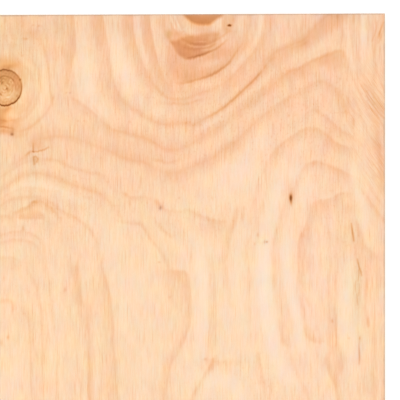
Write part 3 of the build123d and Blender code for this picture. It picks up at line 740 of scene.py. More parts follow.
# Small marks, in the same form: pits, resin and pin knots.
SPECKS = {
    "the knot and its rings": [
        (4, 37, 3, 5, -10), (5, 20, 0.8, 4, -26), (21, 24, 4, 7, -12), (22, 17, 0.9, 4, -26),
        (24, 24, 3, 4, -12), (25.5, 39, 2.4, 1.2, -36), (30, 34, 6, 4, -8), (33, 25, 1.6, 0.9, -22),
        (37, 39, 1, 1, -24), (39, 26, 1.2, 1.2, -34), (8.5, 68.3, 1.6, 1.2, -24), (13, 45, 3, 2, -12),
        (22.5, 55.5, 1.5, 1.5, -28), (0.8, 78.5, 1.6, 1.2, -44), (0.8, 94.3, 1.3, 1.6, -66),
        (0.8, 87.5, 1.2, 1.6, 26), (2, 82.5, 1.3, 1.9, -60), (2.5, 76.5, 2.5, 1, -18), (3, 90, 2, 2, 16),
        (7, 88.8, 1.1, 1.2, -72), (7.8, 90.8, 0.9, 1.3, -40), (8.5, 97.3, 4, 1, 20),
        (10.5, 80.5, 1.5, 1.2, 28), (12.5, 83, 1.2, 1.2, 22), (13.5, 79.5, 1.2, 1.4, -24),
        (14.2, 85.3, 1.3, 1.3, -24), (17, 95.8, 1, 1.2, -22), (20.5, 79.6, 1.1, 1.2, -66),
        (21.5, 79, 1, 1, 10), (22, 102.5, 1, 1, 14), (53, 98, 1.4, 2.5, -20), (12, 134.5, 1.6, 1.4, -95),
        (13, 131, 3, 2.5, -18), (58.5, 113, 1.3, 3, -16),
    ],
    "the bands at the top left": [
        (118, 26, 3, 12, 3), (66, 93, 1, 1, -25), (70, 93, 1, 1, -34), (78, 121, 1.2, 1, -25),
        (84, 121, 1, 1, -25), (87, 113, 1, 1.3, -22), (130, 122, 1, 1.6, -25),
    ],
    "the dark nest at the far end": [
        (204, 15, 14, 2.2, 22), (179, 41.5, 1.4, 3, -12), (179, 44, 4, 8, -12),
        (183, 31.3, 0.9, 0.8, -22), (183.3, 27.5, 0.8, 0.9, -14), (199, 42, 9, 3, -10),
        (203.5, 21.8, 7, 2.2, -14), (209.5, 30.5, 2.6, 1.6, -12), (219, 19.5, 3.5, 3.5, 14),
        (220, 26, 2.2, 2.2, 8), (227, 29, 2, 1.5, -14), (229.5, 25.2, 1.8, 1.1, -240),
        (233, 20, 1.5, 2.5, -20), (185.5, 46, 1.2, 1.6, -14), (187.5, 53, 5, 3, -8),
        (189, 56.5, 3.5, 1.2, 10), (199.8, 60, 1.6, 1, -14), (211.5, 54.5, 1.6, 0.9, -14),
    ],
    "below the nest": [
        (163, 93, 1, 1.2, -22), (174, 103, 1.2, 1, -22), (256, 102, 2, 3, -10),
        (186, 123, 1.2, 1.2, -26), (221.5, 117, 1.1, 1.1, -26), (227, 122, 1.2, 1, -14),
        (248, 106, 2, 3, -12), (232, 149, 1.5, 2, -10), (233, 143, 2.5, 2.5, -12),
    ],
    "the lines right of the nest": [
        (304, 43, 4, 3, -12), (337, 16, 3, 3, -14), (265, 66, 2, 2, -18), (271, 59.5, 3, 3, -12),
        (343, 56, 1.5, 2, -14), (340, 79, 1, 1.4, -20),
    ],
    "the humps at the right": [
        (284, 103, 1.5, 4, -12), (294, 97, 4, 1.5, -8), (300, 94, 1.2, 2, -14),
        (303, 104.5, 1.5, 1.5, -14), (288.5, 116, 1, 2, -18), (291.5, 106, 1, 2.5, -16),
        (307, 107, 1, 2, -14), (315.5, 105, 1.6, 5, -16), (318, 110.5, 2, 3, -12),
        (331, 131.5, 2, 2.5, -16), (345, 112, 1, 1.6, -24), (266, 163, 1.2, 3, -16),
        (277, 153, 1.8, 4, -16), (314, 164, 1.6, 2.2, -24), (330, 141, 2, 3, -10), (291, 194, 4, 9, -24),
        (290.8, 197.8, 1.5, 3.6, -215), (291.2, 203, 1, 3, -60), (336, 198, 1.6, 2.4, -12),
    ],
    "the right side": [
        (380, 35, 1.5, 4, -14), (353, 127, 1.5, 3, -12), (353.5, 121, 1.1, 4, -30),
        (380, 146, 2, 3, -14), (383, 160, 2, 4, -12), (374, 176, 3, 4, -10),
    ],
    "the arcs below the knot": [
        (34, 143, 4, 3, -9), (38, 147, 4, 3.5, -14), (34, 202, 3, 1.6, -24), (89, 197.5, 3.5, 1.6, -16),
        (23, 228, 1.3, 2.6, -36),
    ],
    "the middle": [
        (126, 194, 1.4, 2, -30), (130, 203, 1, 3.6, -28), (158, 203, 3, 3, -14),
        (160.5, 208, 1.3, 2.2, -80), (179, 198, 0.9, 1.2, -25), (212, 198, 0.9, 1.4, -22),
        (254.6, 244, 1.2, 1.2, -24), (257.8, 234.8, 1, 2.2, -36), (261.5, 243, 2.4, 1.2, -14),
    ],
    "the left side of the lower half": [
        (4, 279, 1, 2.5, -18), (77, 267, 1.8, 4.5, -14), (65, 290, 1.4, 2.4, -36), (1, 343, 1.4, 4, -34),
        (8, 337, 1.2, 2.2, -38),
    ],
    "the middle of the lower half": [
        (159, 262, 1.3, 1, -34), (170, 297, 1.5, 1.2, -18), (205, 359, 1.4, 1.5, -34),
        (212, 366, 4, 4, -12),
    ],
    "the long lines of the lower half": [
        (262.5, 238, 1.5, 1, -14), (264.4, 242, 0.8, 2, -44), (266.8, 241.7, 1.2, 1.1, -80),
        (302, 235, 2, 3, -16), (308, 229, 2, 4, -14), (284, 341, 3, 4, -12), (332.4, 321, 1.1, 2, -50),
        (262, 382, 3, 3, -12),
    ],
    "the cracks and the lower right": [
        (355.8, 250, 1.3, 5, -18), (349, 338, 1.2, 1, -25), (368, 321, 1.2, 4, -22),
    ],
}


def traced(points, closed=False, step=2.0):
    """A smooth curve through given points, as rows of right, down and strength."""
    rows = np.array([(*point, 1.0)[:3] for point in points], float)
    if closed:
        spread = np.vstack([rows[-1:], rows, rows[:2]])
    else:
        spread = np.vstack([2 * rows[0] - rows[1], rows, 2 * rows[-1] - rows[-2]])
    pieces = []
    for before, start, end, after in zip(spread[:-3], spread[1:-2], spread[2:-1], spread[3:]):
        count = max(1, int(np.hypot(*(end - start)[:2]) / step))
        along = np.linspace(0, 1, count, endpoint=False)[:, None]
        bend = 2 * before - 5 * start + 4 * end - after
        twist = 3 * start - before - 3 * end + after
        pieces.append(0.5 * (2 * start + (end - before) * along + bend * along**2 + twist * along**3))
    pieces.append(spread[-2:-1])
    return np.vstack(pieces)


def nearest_on(curve, right, down):
    """Distance to the curve, which hand of it a point is on, and the line's strength there."""
    best = np.full(right.shape, 1e9)
    hand = np.zeros(right.shape)
    strength = np.zeros(right.shape)
    for (x0, y0, s0), (x1, y1, s1) in zip(curve[:-1], curve[1:]):
        dx = x1 - x0
        dy = y1 - y0
        along = np.clip(((right - x0) * dx + (down - y0) * dy) / max(dx * dx + dy * dy, 1e-9), 0, 1)
        off_x = right - x0 - along * dx
        off_y = down - y0 - along * dy
        square = off_x * off_x + off_y * off_y
        closer = square < best
        best = np.where(closer, square, best)
        hand = np.where(closer, dx * off_y - dy * off_x, hand)
        strength = np.where(closer, s0 + along * (s1 - s0), strength)
    return np.sqrt(best), hand, strength


def fading(distance, reach):
    """1 on the line, easing to 0 at the reach."""
    return np.clip(1 - (distance / reach) ** 2, 0, 1) ** 1.5


def add_strokes(strokes, right, down):
    """Depth of all strokes at each point, stronger where they meet but never their plain sum."""
    total = np.zeros(right.shape)
    for drop, core, left_fade, right_fade, points in strokes.values():
        curve = traced(points)
        reach = max(left_fade, right_fade, 5)
        near = (right > curve[:, 0].min() - reach) & (right < curve[:, 0].max() + reach)
        near &= (down > curve[:, 1].min() - reach) & (down < curve[:, 1].max() + reach)
        if near.any():
            distance, hand, strength = nearest_on(curve, right[near], down[near])
            fade = np.where(hand > 0, right_fade, left_fade)
            depth = strength * (drop * fading(distance, fade) + core * np.exp(-((distance / 1.5) ** 2)))
            total[near] += depth * depth
    return np.sqrt(total)


def add_fine_lines(lines, right, down):
    """Depth of thin lines of even width, added up."""
    total = np.zeros(right.shape)
    for drop, half_width, points in lines.values():
        curve = traced(points)
        reach = 3 * half_width
        near = (right > curve[:, 0].min() - reach) & (right < curve[:, 0].max() + reach)
        near &= (down > curve[:, 1].min() - reach) & (down < curve[:, 1].max() + reach)
        if near.any():
            distance, hand, strength = nearest_on(curve, right[near], down[near])
            total[near] += strength * drop * np.exp(-((distance / half_width) ** 2))
    return total


def add_areas(areas, right, down):
    """Filled shapes with soft edges, each within a smooth closed outline."""
    total = np.zeros(right.shape)
    for drop, softness, points in areas.values():
        curve = traced(points, closed=True)
        near = (right > curve[:, 0].min() - softness) & (right < curve[:, 0].max() + softness)
        near &= (down > curve[:, 1].min() - softness) & (down < curve[:, 1].max() + softness)
        if near.any():
            x = right[near]
            y = down[near]
            crossings = np.zeros(x.shape, int)
            for (x0, y0, s0), (x1, y1, s1) in zip(curve[:-1], curve[1:]):
                spans = (y0 <= y) != (y1 <= y)
                if y1 != y0:
                    crossings += spans & (x < x0 + (y - y0) / (y1 - y0) * (x1 - x0))
            distance, hand, strength = nearest_on(curve, x, y)
            signed = np.where(crossings % 2 == 1, distance, -distance)
            share = np.clip(0.5 + signed / softness, 0, 1)
            total[near] += drop * share * share * (3 - 2 * share)
    return total


def add_patches(patches, right, down):
    """Soft-edged areas and spots, each with its own centre, half sizes and amount."""
    total = np.zeros(right.shape)
    for group in patches.values():
        for x, y, half_width, half_height, amount in group:
            far = ((right - x) / half_width) ** 2 + ((down - y) / half_height) ** 2
            near = far < 9
            total[near] += amount * np.exp(-far[near])
    return total


def figure_place(x, y):
    """Where the camera sees a place on the face, in pixels right and down."""
    across = FIGURE_RIGHT - FIGURE_MIDDLE - (HIGH.x - x) / MM
    below = FIGURE_TOP - FIGURE_MIDDLE + (HIGH.y - y) / MM
    nearness = 1 / (1 - across * MM * np.sin(CAMERA_LEAN) / CAMERA_AWAY)
    right = FIGURE_MIDDLE + across * np.cos(CAMERA_LEAN) * nearness
    down = FIGURE_MIDDLE + below * nearness
    return right, down


def combed(right, down):
    """How far each fibre shifts the lines that cross it, up and down."""
    random = np.random.RandomState(11)
    steps = random.normal(0.0, 1.0, (512, 24))
    column = np.clip(right + 60, 0, 500)
    row = np.clip((down + 20) / 26, 0, 22)
    left = column.astype(int)
    top = row.astype(int)
    across = column - left
    along = row - top
    upper = steps[left, top] * (1 - across) + steps[left + 1, top] * across
    lower = steps[left, top + 1] * (1 - across) + steps[left + 1, top + 1] * across
    return upper * (1 - along) + lower * along


def figure_tone(right, down):
    """Tone of the photographed corner, 0 at the plain wood, dark lines below and pale ones above."""
    down = down + FIBRE_STEP * combed(right, down)
    tone = BASE_TONE + LOWER_LIFT * (0.5 + 0.5 * np.tanh((down - LOWER_START) / 40))
    tone += add_patches(PATCHES, right, down)
    tone += add_strokes(PALE_LINES, right, down) - add_strokes(DARK_LINES, right, down)
    tone -= add_areas(DARK_AREAS, right, down) + add_fine_lines(FINE_LINES, right, down)
    return tone + knot_tone(right, down) + add_patches(SPECKS, right, down)


def figure_share(right, down):
    """1 over the photographed corner, fading to 0 on the rest of the sheet."""
    beyond = np.hypot(np.minimum(right, 0), np.maximum(down - 400, 0))
    fade = (beyond - FIGURE_FADE_START) / (FIGURE_FADE_END - FIGURE_FADE_START)
    fade = np.clip(fade, 0, 1)
    return 1 - fade * fade * (3 - 2 * fade)


# Shader helpers


def add_node(tree, kind, inputs=None, **settings):
    """A node with its settings and its inputs, each a value or the socket that feeds it."""
    made = tree.nodes.new(kind)
    for key, value in settings.items():
        setattr(made, key, value)
    for key, value in (inputs or {}).items():
        if isinstance(value, bpy.types.NodeSocket):
            tree.links.new(value, made.inputs[key])
        else:
            made.inputs[key].default_value = value
    return made


def calc(tree, operation, a, b=0.0, c=0.0, clamp=False):
    inputs = {0: a, 1: b}
    if operation in ("MULTIPLY_ADD", "SMOOTH_MIN", "SMOOTH_MAX"):
        inputs[2] = c
    return add_node(tree, "ShaderNodeMath", inputs, operation=operation, use_clamp=clamp).outputs[0]


def ranged(tree, value, low, high, to_low=0.0, to_high=1.0, smooth=True):
    inputs = {"Value": value, "From Min": low, "From Max": high, "To Min": to_low, "To Max": to_high}
    kind = "SMOOTHSTEP" if smooth else "LINEAR"
    return add_node(tree, "ShaderNodeMapRange", inputs, interpolation_type=kind).outputs["Result"]


def noise(tree, place, size, detail=2.0, roughness=0.5, shift=(0, 0, 0)):
    """Noise between 0 and 1 whose lumps have about this size, in metres, along X, Y and Z."""
    scale = tuple(1 / s for s in size)
    inputs = {"Vector": place, "Location": shift, "Scale": scale}
    mapping = add_node(tree, "ShaderNodeMapping", inputs)
    inputs = {"Vector": mapping.outputs[0], "Scale": 1.0, "Detail": detail, "Roughness": roughness}
    return add_node(tree, "ShaderNodeTexNoise", inputs).outputs["Fac"]


def ramp(tree, value, stops, interpolation="LINEAR"):
    """A colour ramp whose stops are places and linear colours or plain numbers."""
    made = add_node(tree, "ShaderNodeValToRGB", {"Fac": value})
    made.color_ramp.interpolation = interpolation
    elements = made.color_ramp.elements
    while len(elements) < len(stops):
        elements.new(0.5)
    for element, (place, colour) in zip(elements, stops):
        element.position = place
        grey = isinstance(colour, (int, float))
        element.color = (colour, colour, colour, 1) if grey else (*colour, 1)
    return made.outputs["Color"]


def mixed(tree, share, first, second, blend="MIX"):
    inputs = {0: share, 6: first, 7: second}
    made = add_node(tree, "ShaderNodeMix", inputs, data_type="RGBA", blend_type=blend)
    return made.outputs[2]


def linear(red, green, blue):
    """Linear colour of an 8-bit screen colour."""
    shares = [channel / 255 for channel in (red, green, blue)]
    return tuple(s / 12.92 if s <= 0.04045 else ((s + 0.055) / 1.055) ** 2.4 for s in shares)


def screen_stops(stops):
    return [(place, linear(*colour)) for place, colour in stops]


def new_group(name, inputs, outputs):
    """An empty shader node group with named inputs and outputs."""
    group = bpy.data.node_groups.new(name, "ShaderNodeTree")
    kinds = {"vector": "NodeSocketVector", "value": "NodeSocketFloat", "colour": "NodeSocketColor"}
    for label, kind, value in inputs:
        socket = group.interface.new_socket(label, in_out="INPUT", socket_type=kinds[kind])
        if value is not None:
            socket.default_value = value
    for label, kind in outputs:
        group.interface.new_socket(label, in_out="OUTPUT", socket_type=kinds[kind])
    return group, group.nodes.new("NodeGroupInput").outputs, group.nodes.new("NodeGroupOutput").inputs


def place_group(tree, group, inputs):
    return add_node(tree, "ShaderNodeGroup", inputs, node_tree=group).outputs


# Effects that several finishes share


def fibre_grain_group():
    """Fibres along Y: fine ones, soft broader streaks, dark pores and short ticks."""
    inputs = [("Place", "vector", None), ("Depth", "value", 1.0), ("Ticks", "value", 0.5)]
    group, given, result = new_group("fibre_grain", inputs, [("Tone", "value"), ("Height", "value")])
    fine = noise(group, given["Place"], (0.0011, 0.015, 0.01), detail=1.0)
    medium = noise(group, given["Place"], (0.0042, 0.045, 0.01), detail=1.0, shift=(3, 7, 1))
    broad = noise(group, given["Place"], (0.0130, 0.180, 0.02), detail=1.0, shift=(9, 2, 5))
    pore = noise(group, given["Place"], (0.0009, 0.026, 0.01), detail=0.0, shift=(4, 4, 6))
    tick = noise(group, given["Place"], (0.0016, 0.0030, 0.01), detail=1.0, shift=(5, 1, 2))
    ticks = calc(group, "MULTIPLY", ranged(group, tick, 0.52, 0.80), given["Ticks"])
    pores = ranged(group, pore, 0.60, 0.84)
    tone = calc(group, "MULTIPLY_ADD", fine, FINE_FIBRES, -0.5 * FINE_FIBRES)
    for streaks, amount in ((medium, MEDIUM_STREAKS), (broad, BROAD_STREAKS)):
        tone = calc(group, "ADD", tone, calc(group, "MULTIPLY_ADD", streaks, amount, -0.5 * amount))
    tone = calc(group, "ADD", tone, calc(group, "MULTIPLY_ADD", ticks, -DARK_TICKS, 0.016))
    tone = calc(group, "ADD", tone, calc(group, "MULTIPLY_ADD", pores, -DARK_PORES, 0.022))
    hair = noise(group, given["Place"], (0.00035, 0.007, 0.01), detail=1.0, shift=(8, 3, 9))
    tone = calc(group, "ADD", tone, calc(group, "MULTIPLY_ADD", hair, HAIRS, -0.5 * HAIRS))
    group.links.new(calc(group, "MULTIPLY", tone, given["Depth"]), result["Tone"])
    height = calc(group, "MULTIPLY_ADD", medium, 0.8, fine)
    group.links.new(calc(group, "MULTIPLY_ADD", hair, 0.4, height), result["Height"])
    return group


def wood_tones_group():
    """The wood's colours, from the darkest knot rim to the palest early wood."""
    inputs = [("Tone", "value", 0.0), ("Warmth", "value", 0.0), ("Greenness", "value", 0.0)]
    group, given, result = new_group("wood_tones", inputs, [("Colour", "colour")])
    span = PALEST_TONE - DARKEST_TONE
    stops = []
    for tone, colour in WOOD_COLOURS:
        stops.append(((tone / 100 - DARKEST_TONE) / span, linear(*colour)))
    place = ranged(group, given["Tone"], DARKEST_TONE, PALEST_TONE, smooth=False)
    plain = ramp(group, place, stops)
    factor = None
    for label, change in {"Warmth": (0.072, 0.035, -0.063), "Greenness": (-0.047, 0.080, -0.055)}.items():
        shift = add_node(group, "ShaderNodeVectorMath", {0: change}, operation="SCALE")
        group.links.new(given[label], shift.inputs["Scale"])
        sides = {0: shift.outputs[0], 1: factor.outputs[0] if factor else (1, 1, 1)}
        factor = add_node(group, "ShaderNodeVectorMath", sides, operation="ADD")
    warm = add_node(group, "ShaderNodeVectorMath", {0: plain, 1: factor.outputs[0]}, operation="MULTIPLY")
    group.links.new(warm.outputs[0], result["Colour"])
    return group


def knot_group():
    """A knot: how far it swells the rings round it, and the tone of its own heart, rim and halo."""
    inputs = [("Place", "vector", None), ("Centre", "vector", (0, 0, 0)), ("Radius", "value", 0.015)]
    group, given, result = new_group("knot", inputs, [("Swell", "value"), ("Tone", "value")])
    sides = {0: given["Place"], 1: given["Centre"]}
    away = add_node(group, "ShaderNodeVectorMath", sides, operation="SUBTRACT")
    squash = {0: away.outputs[0], 1: (1, 0.82, 0)}
    away = add_node(group, "ShaderNodeVectorMath", squash, operation="MULTIPLY")
    length = add_node(group, "ShaderNodeVectorMath", {0: away.outputs[0]}, operation="LENGTH")
    far = calc(group, "DIVIDE", length.outputs["Value"], given["Radius"])
    uneven = noise(group, given["Place"], (0.009, 0.012, 0.01), detail=2.0)
    far = calc(group, "ADD", far, calc(group, "MULTIPLY_ADD", uneven, 0.3, -0.15))
    squared = calc(group, "MULTIPLY", far, far)
    swell = calc(group, "DIVIDE", 2.6, calc(group, "MULTIPLY_ADD", squared, 0.16, 1.0))
    heart = ranged(group, far, 1.05, 0.92)
    rim = calc(group, "ABSOLUTE", calc(group, "ADD", far, -0.98))
    rim = ranged(group, rim, 0.10, 0.0)
    halo = ranged(group, far, 1.7, 0.9)
    rings = calc(group, "SINE", calc(group, "MULTIPLY", far, 34.0))
    rings = calc(group, "MULTIPLY", calc(group, "MULTIPLY", rings, heart), 0.07)
    tone = calc(group, "MULTIPLY_ADD", heart, -0.50, calc(group, "MULTIPLY", rim, -0.85))
    tone = calc(group, "ADD", calc(group, "MULTIPLY_ADD", halo, -0.22, tone), rings)
    group.links.new(swell, result["Swell"])
    group.links.new(tone, result["Tone"])
    return group


def ring_figure_group():
    """Flat-peeled growth rings: level lines of a slow swell that is stretched along Y."""
    inputs = [("Place", "vector", None), ("Rings", "value", 11.0), ("Depth", "value", 0.25)]
    inputs += [("Swell", "value", 0.0), ("Knot Tone", "value", 0.0)]
    group, given, result = new_group("ring_figure", inputs, [("Tone", "value")])
    slow = noise(group, given["Place"], (0.26, 0.85, 0.5), detail=1.5, roughness=0.35)
    wobble = noise(group, given["Place"], (0.045, 0.16, 0.1), detail=2.0, shift=(4, 1, 8))
    comb = noise(group, given["Place"], (0.0028, 0.05, 0.02), detail=1.0, shift=(2, 6, 3))
    field = calc(group, "MULTIPLY_ADD", slow, given["Rings"], given["Swell"])
    field = calc(group, "MULTIPLY_ADD", wobble, 0.8, field)
    field = calc(group, "MULTIPLY_ADD", comb, 0.08, field)
    across = calc(group, "FRACT", field)
    index = calc(group, "FLOOR", field)
    year = add_node(group, "ShaderNodeTexWhiteNoise", {"W": index}, noise_dimensions="1D").outputs["Value"]
    stops = [(0.0, 0.10), (0.06, 0.0), (0.40, 0.06), (0.72, 0.34), (0.90, 0.95), (0.96, 1.0), (1.0, 0.15)]
    late = ramp(group, across, stops)
    strength = calc(group, "MULTIPLY_ADD", year, 0.9, 0.35)
    area = noise(group, given["Place"], (0.12, 0.40, 0.1), detail=2.0, shift=(7, 3, 2))
    strength = calc(group, "MULTIPLY", strength, ranged(group, area, 0.3, 0.62, 0.45, 1.15))
    dark = calc(group, "MULTIPLY", calc(group, "MULTIPLY", late, strength), given["Depth"])
    ground = noise(group, given["Place"], (0.07, 0.5, 0.1), detail=2.0, shift=(1, 9, 4))
    ground = calc(group, "MULTIPLY_ADD", ground, 0.6, -0.17)
    tone = calc(group, "ADD", calc(group, "SUBTRACT", ground, dark), given["Knot Tone"])
    group.links.new(tone, result["Tone"])
    return group


def painted_arris_shade_group():
    """Grey painted shade of the worn arris, on the last millimetre or two of a broad side, along all four
    edges.
    """
    group, given, result = new_group("painted_arris_shade", [("Place", "vector", None)], [("Mask", "value")])
    parts = add_node(group, "ShaderNodeSeparateXYZ", {0: given["Place"]}).outputs
    from_side = calc(group, "SUBTRACT", WIDTH / 2, calc(group, "ABSOLUTE", parts["X"]))
    from_end = calc(group, "SUBTRACT", LENGTH / 2, calc(group, "ABSOLUTE", parts["Y"]))
    uneven = noise(group, given["Place"], (0.012, 0.012, 0.01), detail=3.0)
    near = calc(group, "MINIMUM", from_side, from_end)
    near = calc(group, "ADD", near, calc(group, "MULTIPLY_ADD", uneven, 0.0024, -0.0012))
    group.links.new(ranged(group, near, 0.0021, 0.0003, 0.0, 0.50), result["Mask"])
    return group


def glue_line_group():
    """Dark cured glue squeezed out at each joint between two veneers."""
    group, given, result = new_group("glue_line", [("Place", "vector", None)], [("Mask", "value")])
    height = add_node(group, "ShaderNodeSeparateXYZ", {0: given["Place"]}).outputs["Z"]
    uneven = noise(group, given["Place"], (0.004, 0.004, 0.01), detail=2.0)
    height = calc(group, "MULTIPLY_ADD", uneven, 0.0002, calc(group, "ADD", height, -0.0001))
    nearest = None
    for joint in (BACK_GLUE, LOWER_GLUE, UPPER_GLUE, FACE_GLUE):
        away = calc(group, "ABSOLUTE", calc(group, "ADD", height, -joint))
        nearest = away if nearest is None else calc(group, "MINIMUM", nearest, away)
    group.links.new(ranged(group, nearest, 0.00019, 0.00006), result["Mask"])
    return group


def sawn_edge_group():
    """A sawn edge. Along the grain it shows fine lines, across it the ends of the fibres and rings, with
    painted shade in its small splits.
    """
    inputs = [("Place", "vector", None), ("End Grain", "value", 0.0)]
    outputs = [("Colour", "colour"), ("Roughness", "value"), ("Height", "value")]
    group, given, result = new_group("sawn_edge", inputs, outputs)
    lines = noise(group, given["Place"], (0.06, 0.06, 0.00035), detail=2.0)
    long_tone = ramp(group, lines, screen_stops(LONG_GRAIN_COLOURS))
    ends = noise(group, given["Place"], (0.0007, 0.0007, 0.0005), detail=2.0)
    rings = noise(group, given["Place"], (0.035, 0.035, 0.00042), detail=1.0, shift=(5, 2, 9))
    both = calc(group, "MULTIPLY_ADD", rings, 0.75, calc(group, "MULTIPLY", ends, 0.35))
    end_tone = ramp(group, both, screen_stops(END_GRAIN_COLOURS))
    # Painted shade in the small splits of the end grain, where the splits themselves are not modelled.
    split_shade = noise(group, given["Place"], (0.0009, 0.0009, 0.0014), detail=1.0, shift=(8, 8, 2))
    split_shade = ranged(group, split_shade, 0.68, 0.80)
    end_tone = mixed(group, calc(group, "MULTIPLY", split_shade, 0.6), end_tone, (*linear(*SPLIT_SHADE_COLOUR), 1))
    colour = mixed(group, given["End Grain"], long_tone, end_tone)
    saw = noise(group, given["Place"], (0.0011, 0.0011, 0.02), detail=1.0, shift=(1, 5, 6))
    colour = mixed(group, calc(group, "MULTIPLY", saw, 0.22), colour, (*linear(*SAW_MARK_COLOUR), 1))
    group.links.new(colour, result["Colour"])
    group.links.new(calc(group, "MULTIPLY_ADD", given["End Grain"], 0.08, 0.80), result["Roughness"])
    relief = calc(group, "MULTIPLY_ADD", ends, given["End Grain"], calc(group, "MULTIPLY", lines, 0.4))
    group.links.new(calc(group, "MULTIPLY_ADD", saw, 0.5, relief), result["Height"])
    return group


# Finishes


def new_finish(name):
    finish = bpy.data.materials.new(name)
    finish.use_nodes = True
    tree = finish.node_tree
    shader = tree.nodes["Principled BSDF"]
    shader.inputs["Specular IOR Level"].default_value = 0.15
    place = add_node(tree, "ShaderNodeTexCoord").outputs["Object"]
    return finish, tree, shader, place


def set_bump(tree, shader, height, depth):
    """Bump whose full height is the depth given, in metres."""
    bump = add_node(tree, "ShaderNodeBump", {"Height": height})
    bump.inputs["Distance"].default_value = depth
    bump.inputs["Strength"].default_value = 1.0
    tree.links.new(bump.outputs["Normal"], shader.inputs["Normal"])


def add_knots(tree, place, groups, knots):
    """The swells of all knots together, and the tone of the darkest."""
    swell = None
    tone = None
    for x, y, radius in knots:
        outputs = place_group(tree, groups["knot"], {"Place": place, "Centre": (x, y, 0), "Radius": radius})
        swell = outputs["Swell"] if swell is None else calc(tree, "ADD", swell, outputs["Swell"])
        tone = outputs["Tone"] if tone is None else calc(tree, "MINIMUM", tone, outputs["Tone"])
    return swell, tone


def painted(tree, name):
    """A value that is painted on the vertices."""
    return add_node(tree, "ShaderNodeAttribute", attribute_name=name).outputs["Fac"]


def broad_side_finish(name, groups, knots, rings, depth, photographed):
    """The face or the back: ring figure with knots, fibres over it, and a dry sanded surface."""
    finish, tree, shader, place = new_finish(name)
    flat = add_node(tree, "ShaderNodeVectorMath", {0: place, 1: (1, 1, 0)}, operation="MULTIPLY").outputs[0]
    swell, knot_tones = add_knots(tree, flat, groups, knots)
    inputs = {"Place": flat, "Rings": rings, "Depth": depth, "Swell": swell, "Knot Tone": knot_tones}
    tone = place_group(tree, groups["ring_figure"], inputs)["Tone"]
    ticks = PLAIN_TICKS
    blush = noise(tree, flat, (0.012, 0.020, 0.02), detail=2.0, shift=(6, 4, 3))
    warmth = calc(tree, "MULTIPLY_ADD", blush, 2.4, -1.13)
    tint = noise(tree, flat, (0.014, 0.026, 0.02), detail=2.0, shift=(2, 8, 7))
    greenness = calc(tree, "MULTIPLY_ADD", tint, 1.4, -0.75)
    if photographed:
        drawn = painted(tree, "figure_tone")
        share = painted(tree, "figure_share")
        ticks = painted(tree, "figure_ticks")
        own_warmth = painted(tree, "figure_warmth")
        warmth = calc(tree, "ADD", warmth, own_warmth)
        own_greenness = painted(tree, "figure_greenness")
        greenness = calc(tree, "ADD", greenness, own_greenness)
        rest = calc(tree, "MULTIPLY", tone, calc(tree, "SUBTRACT", 1.0, share))
        tone = calc(tree, "ADD", drawn, rest)
    depth_of_fibre = ramp(tree, ranged(tree, tone, -1.0, 0.3, smooth=False), FIBRE_DEPTHS)
    inputs = {"Place": flat, "Depth": depth_of_fibre, "Ticks": ticks}
    fibre = place_group(tree, groups["fibre_grain"], inputs)
    fibre_tone = fibre["Tone"]
    if photographed:
        slant = painted(tree, "figure_slant")
        turned = add_node(tree, "ShaderNodeMapping", {"Vector": flat, "Rotation": (0, 0, -FIBRE_SLANT)})
        inputs["Place"] = turned.outputs[0]
        leaning = place_group(tree, groups["fibre_grain"], inputs)["Tone"]
        inputs = {0: slant, 2: fibre_tone, 3: calc(tree, "MULTIPLY", leaning, 1.4)}
        fibre_tone = add_node(tree, "ShaderNodeMix", inputs, data_type="FLOAT").outputs[0]
    toned = calc(tree, "ADD", tone, fibre_tone)
    # Grey painted shade along the worn arris of all four edges, mixed into the wood's colour.
    arris_shade_mask = place_group(tree, groups["painted_arris_shade"], {"Place": place})["Mask"]
    inputs = {"Tone": toned, "Warmth": warmth, "Greenness": greenness}
    colour = place_group(tree, groups["wood_tones"], inputs)["Colour"]
    colour = mixed(tree, arris_shade_mask, colour, (*linear(*ARRIS_SHADE_COLOUR), 1))
    tree.links.new(colour, shader.inputs["Base Color"])
    tree.links.new(ranged(tree, toned, -1.2, 0.3, 0.55, 0.82), shader.inputs["Roughness"])
    height = calc(tree, "MULTIPLY_ADD", toned, 0.5, fibre["Height"])
    set_bump(tree, shader, height, 0.00008)
    return finish


def edge_finish(name, groups, grain_along):
    """The sawn edges of one veneer whose grain runs along X or Y."""
    finish, tree, shader, place = new_finish(name)
    normal = add_node(tree, "ShaderNodeNewGeometry").outputs["Normal"]
    facing = add_node(tree, "ShaderNodeSeparateXYZ", {0: normal}).outputs[grain_along]
    end_grain = ranged(tree, calc(tree, "ABSOLUTE", facing), 0.45, 0.55)
    edge = place_group(tree, groups["sawn_edge"], {"Place": place, "End Grain": end_grain})
    glue = place_group(tree, groups["glue_line"], {"Place": place})["Mask"]
    colour = mixed(tree, calc(tree, "MULTIPLY", glue, 0.9), edge["Colour"], (*linear(*GLUE_COLOUR), 1))
    tree.links.new(colour, shader.inputs["Base Color"])
    tree.links.new(edge["Roughness"], shader.inputs["Roughness"])
    set_bump(tree, shader, edge["Height"], 0.00012)
    return finish


# Modelling


def start_piece():
    if bpy.context.object and bpy.context.object.mode != "OBJECT":
        bpy.ops.object.mode_set(mode="OBJECT")
    bpy.ops.object.select_all(action="DESELECT")


def select_faces(mesh_object, chosen):
    """In object mode, marks these faces and opens edit mode with only them selected."""
    bpy.context.tool_settings.mesh_select_mode = (False, False, True)
    bpy.ops.object.mode_set(mode="EDIT")
    bpy.ops.mesh.select_all(action="DESELECT")
    bpy.ops.object.mode_set(mode="OBJECT")
    mesh_object.data.polygons.foreach_set("select", np.asarray(chosen, bool))
    bpy.ops.object.mode_set(mode="EDIT")


def face_data(mesh_object):
    """Centres, corner counts and normals of all faces."""
    polygons = mesh_object.data.polygons
    count = len(polygons)
    centres = np.zeros(count * 3)
    normals = np.zeros(count * 3)
    corners = np.zeros(count, int)
    polygons.foreach_get("center", centres)
    polygons.foreach_get("normal", normals)
    polygons.foreach_get("loop_total", corners)
    return centres.reshape(-1, 3), corners, normals.reshape(-1, 3)


def vertex_places(mesh_object):
    places = np.zeros(len(mesh_object.data.vertices) * 3)
    mesh_object.data.vertices.foreach_get("co", places)
    return places.reshape(-1, 3)


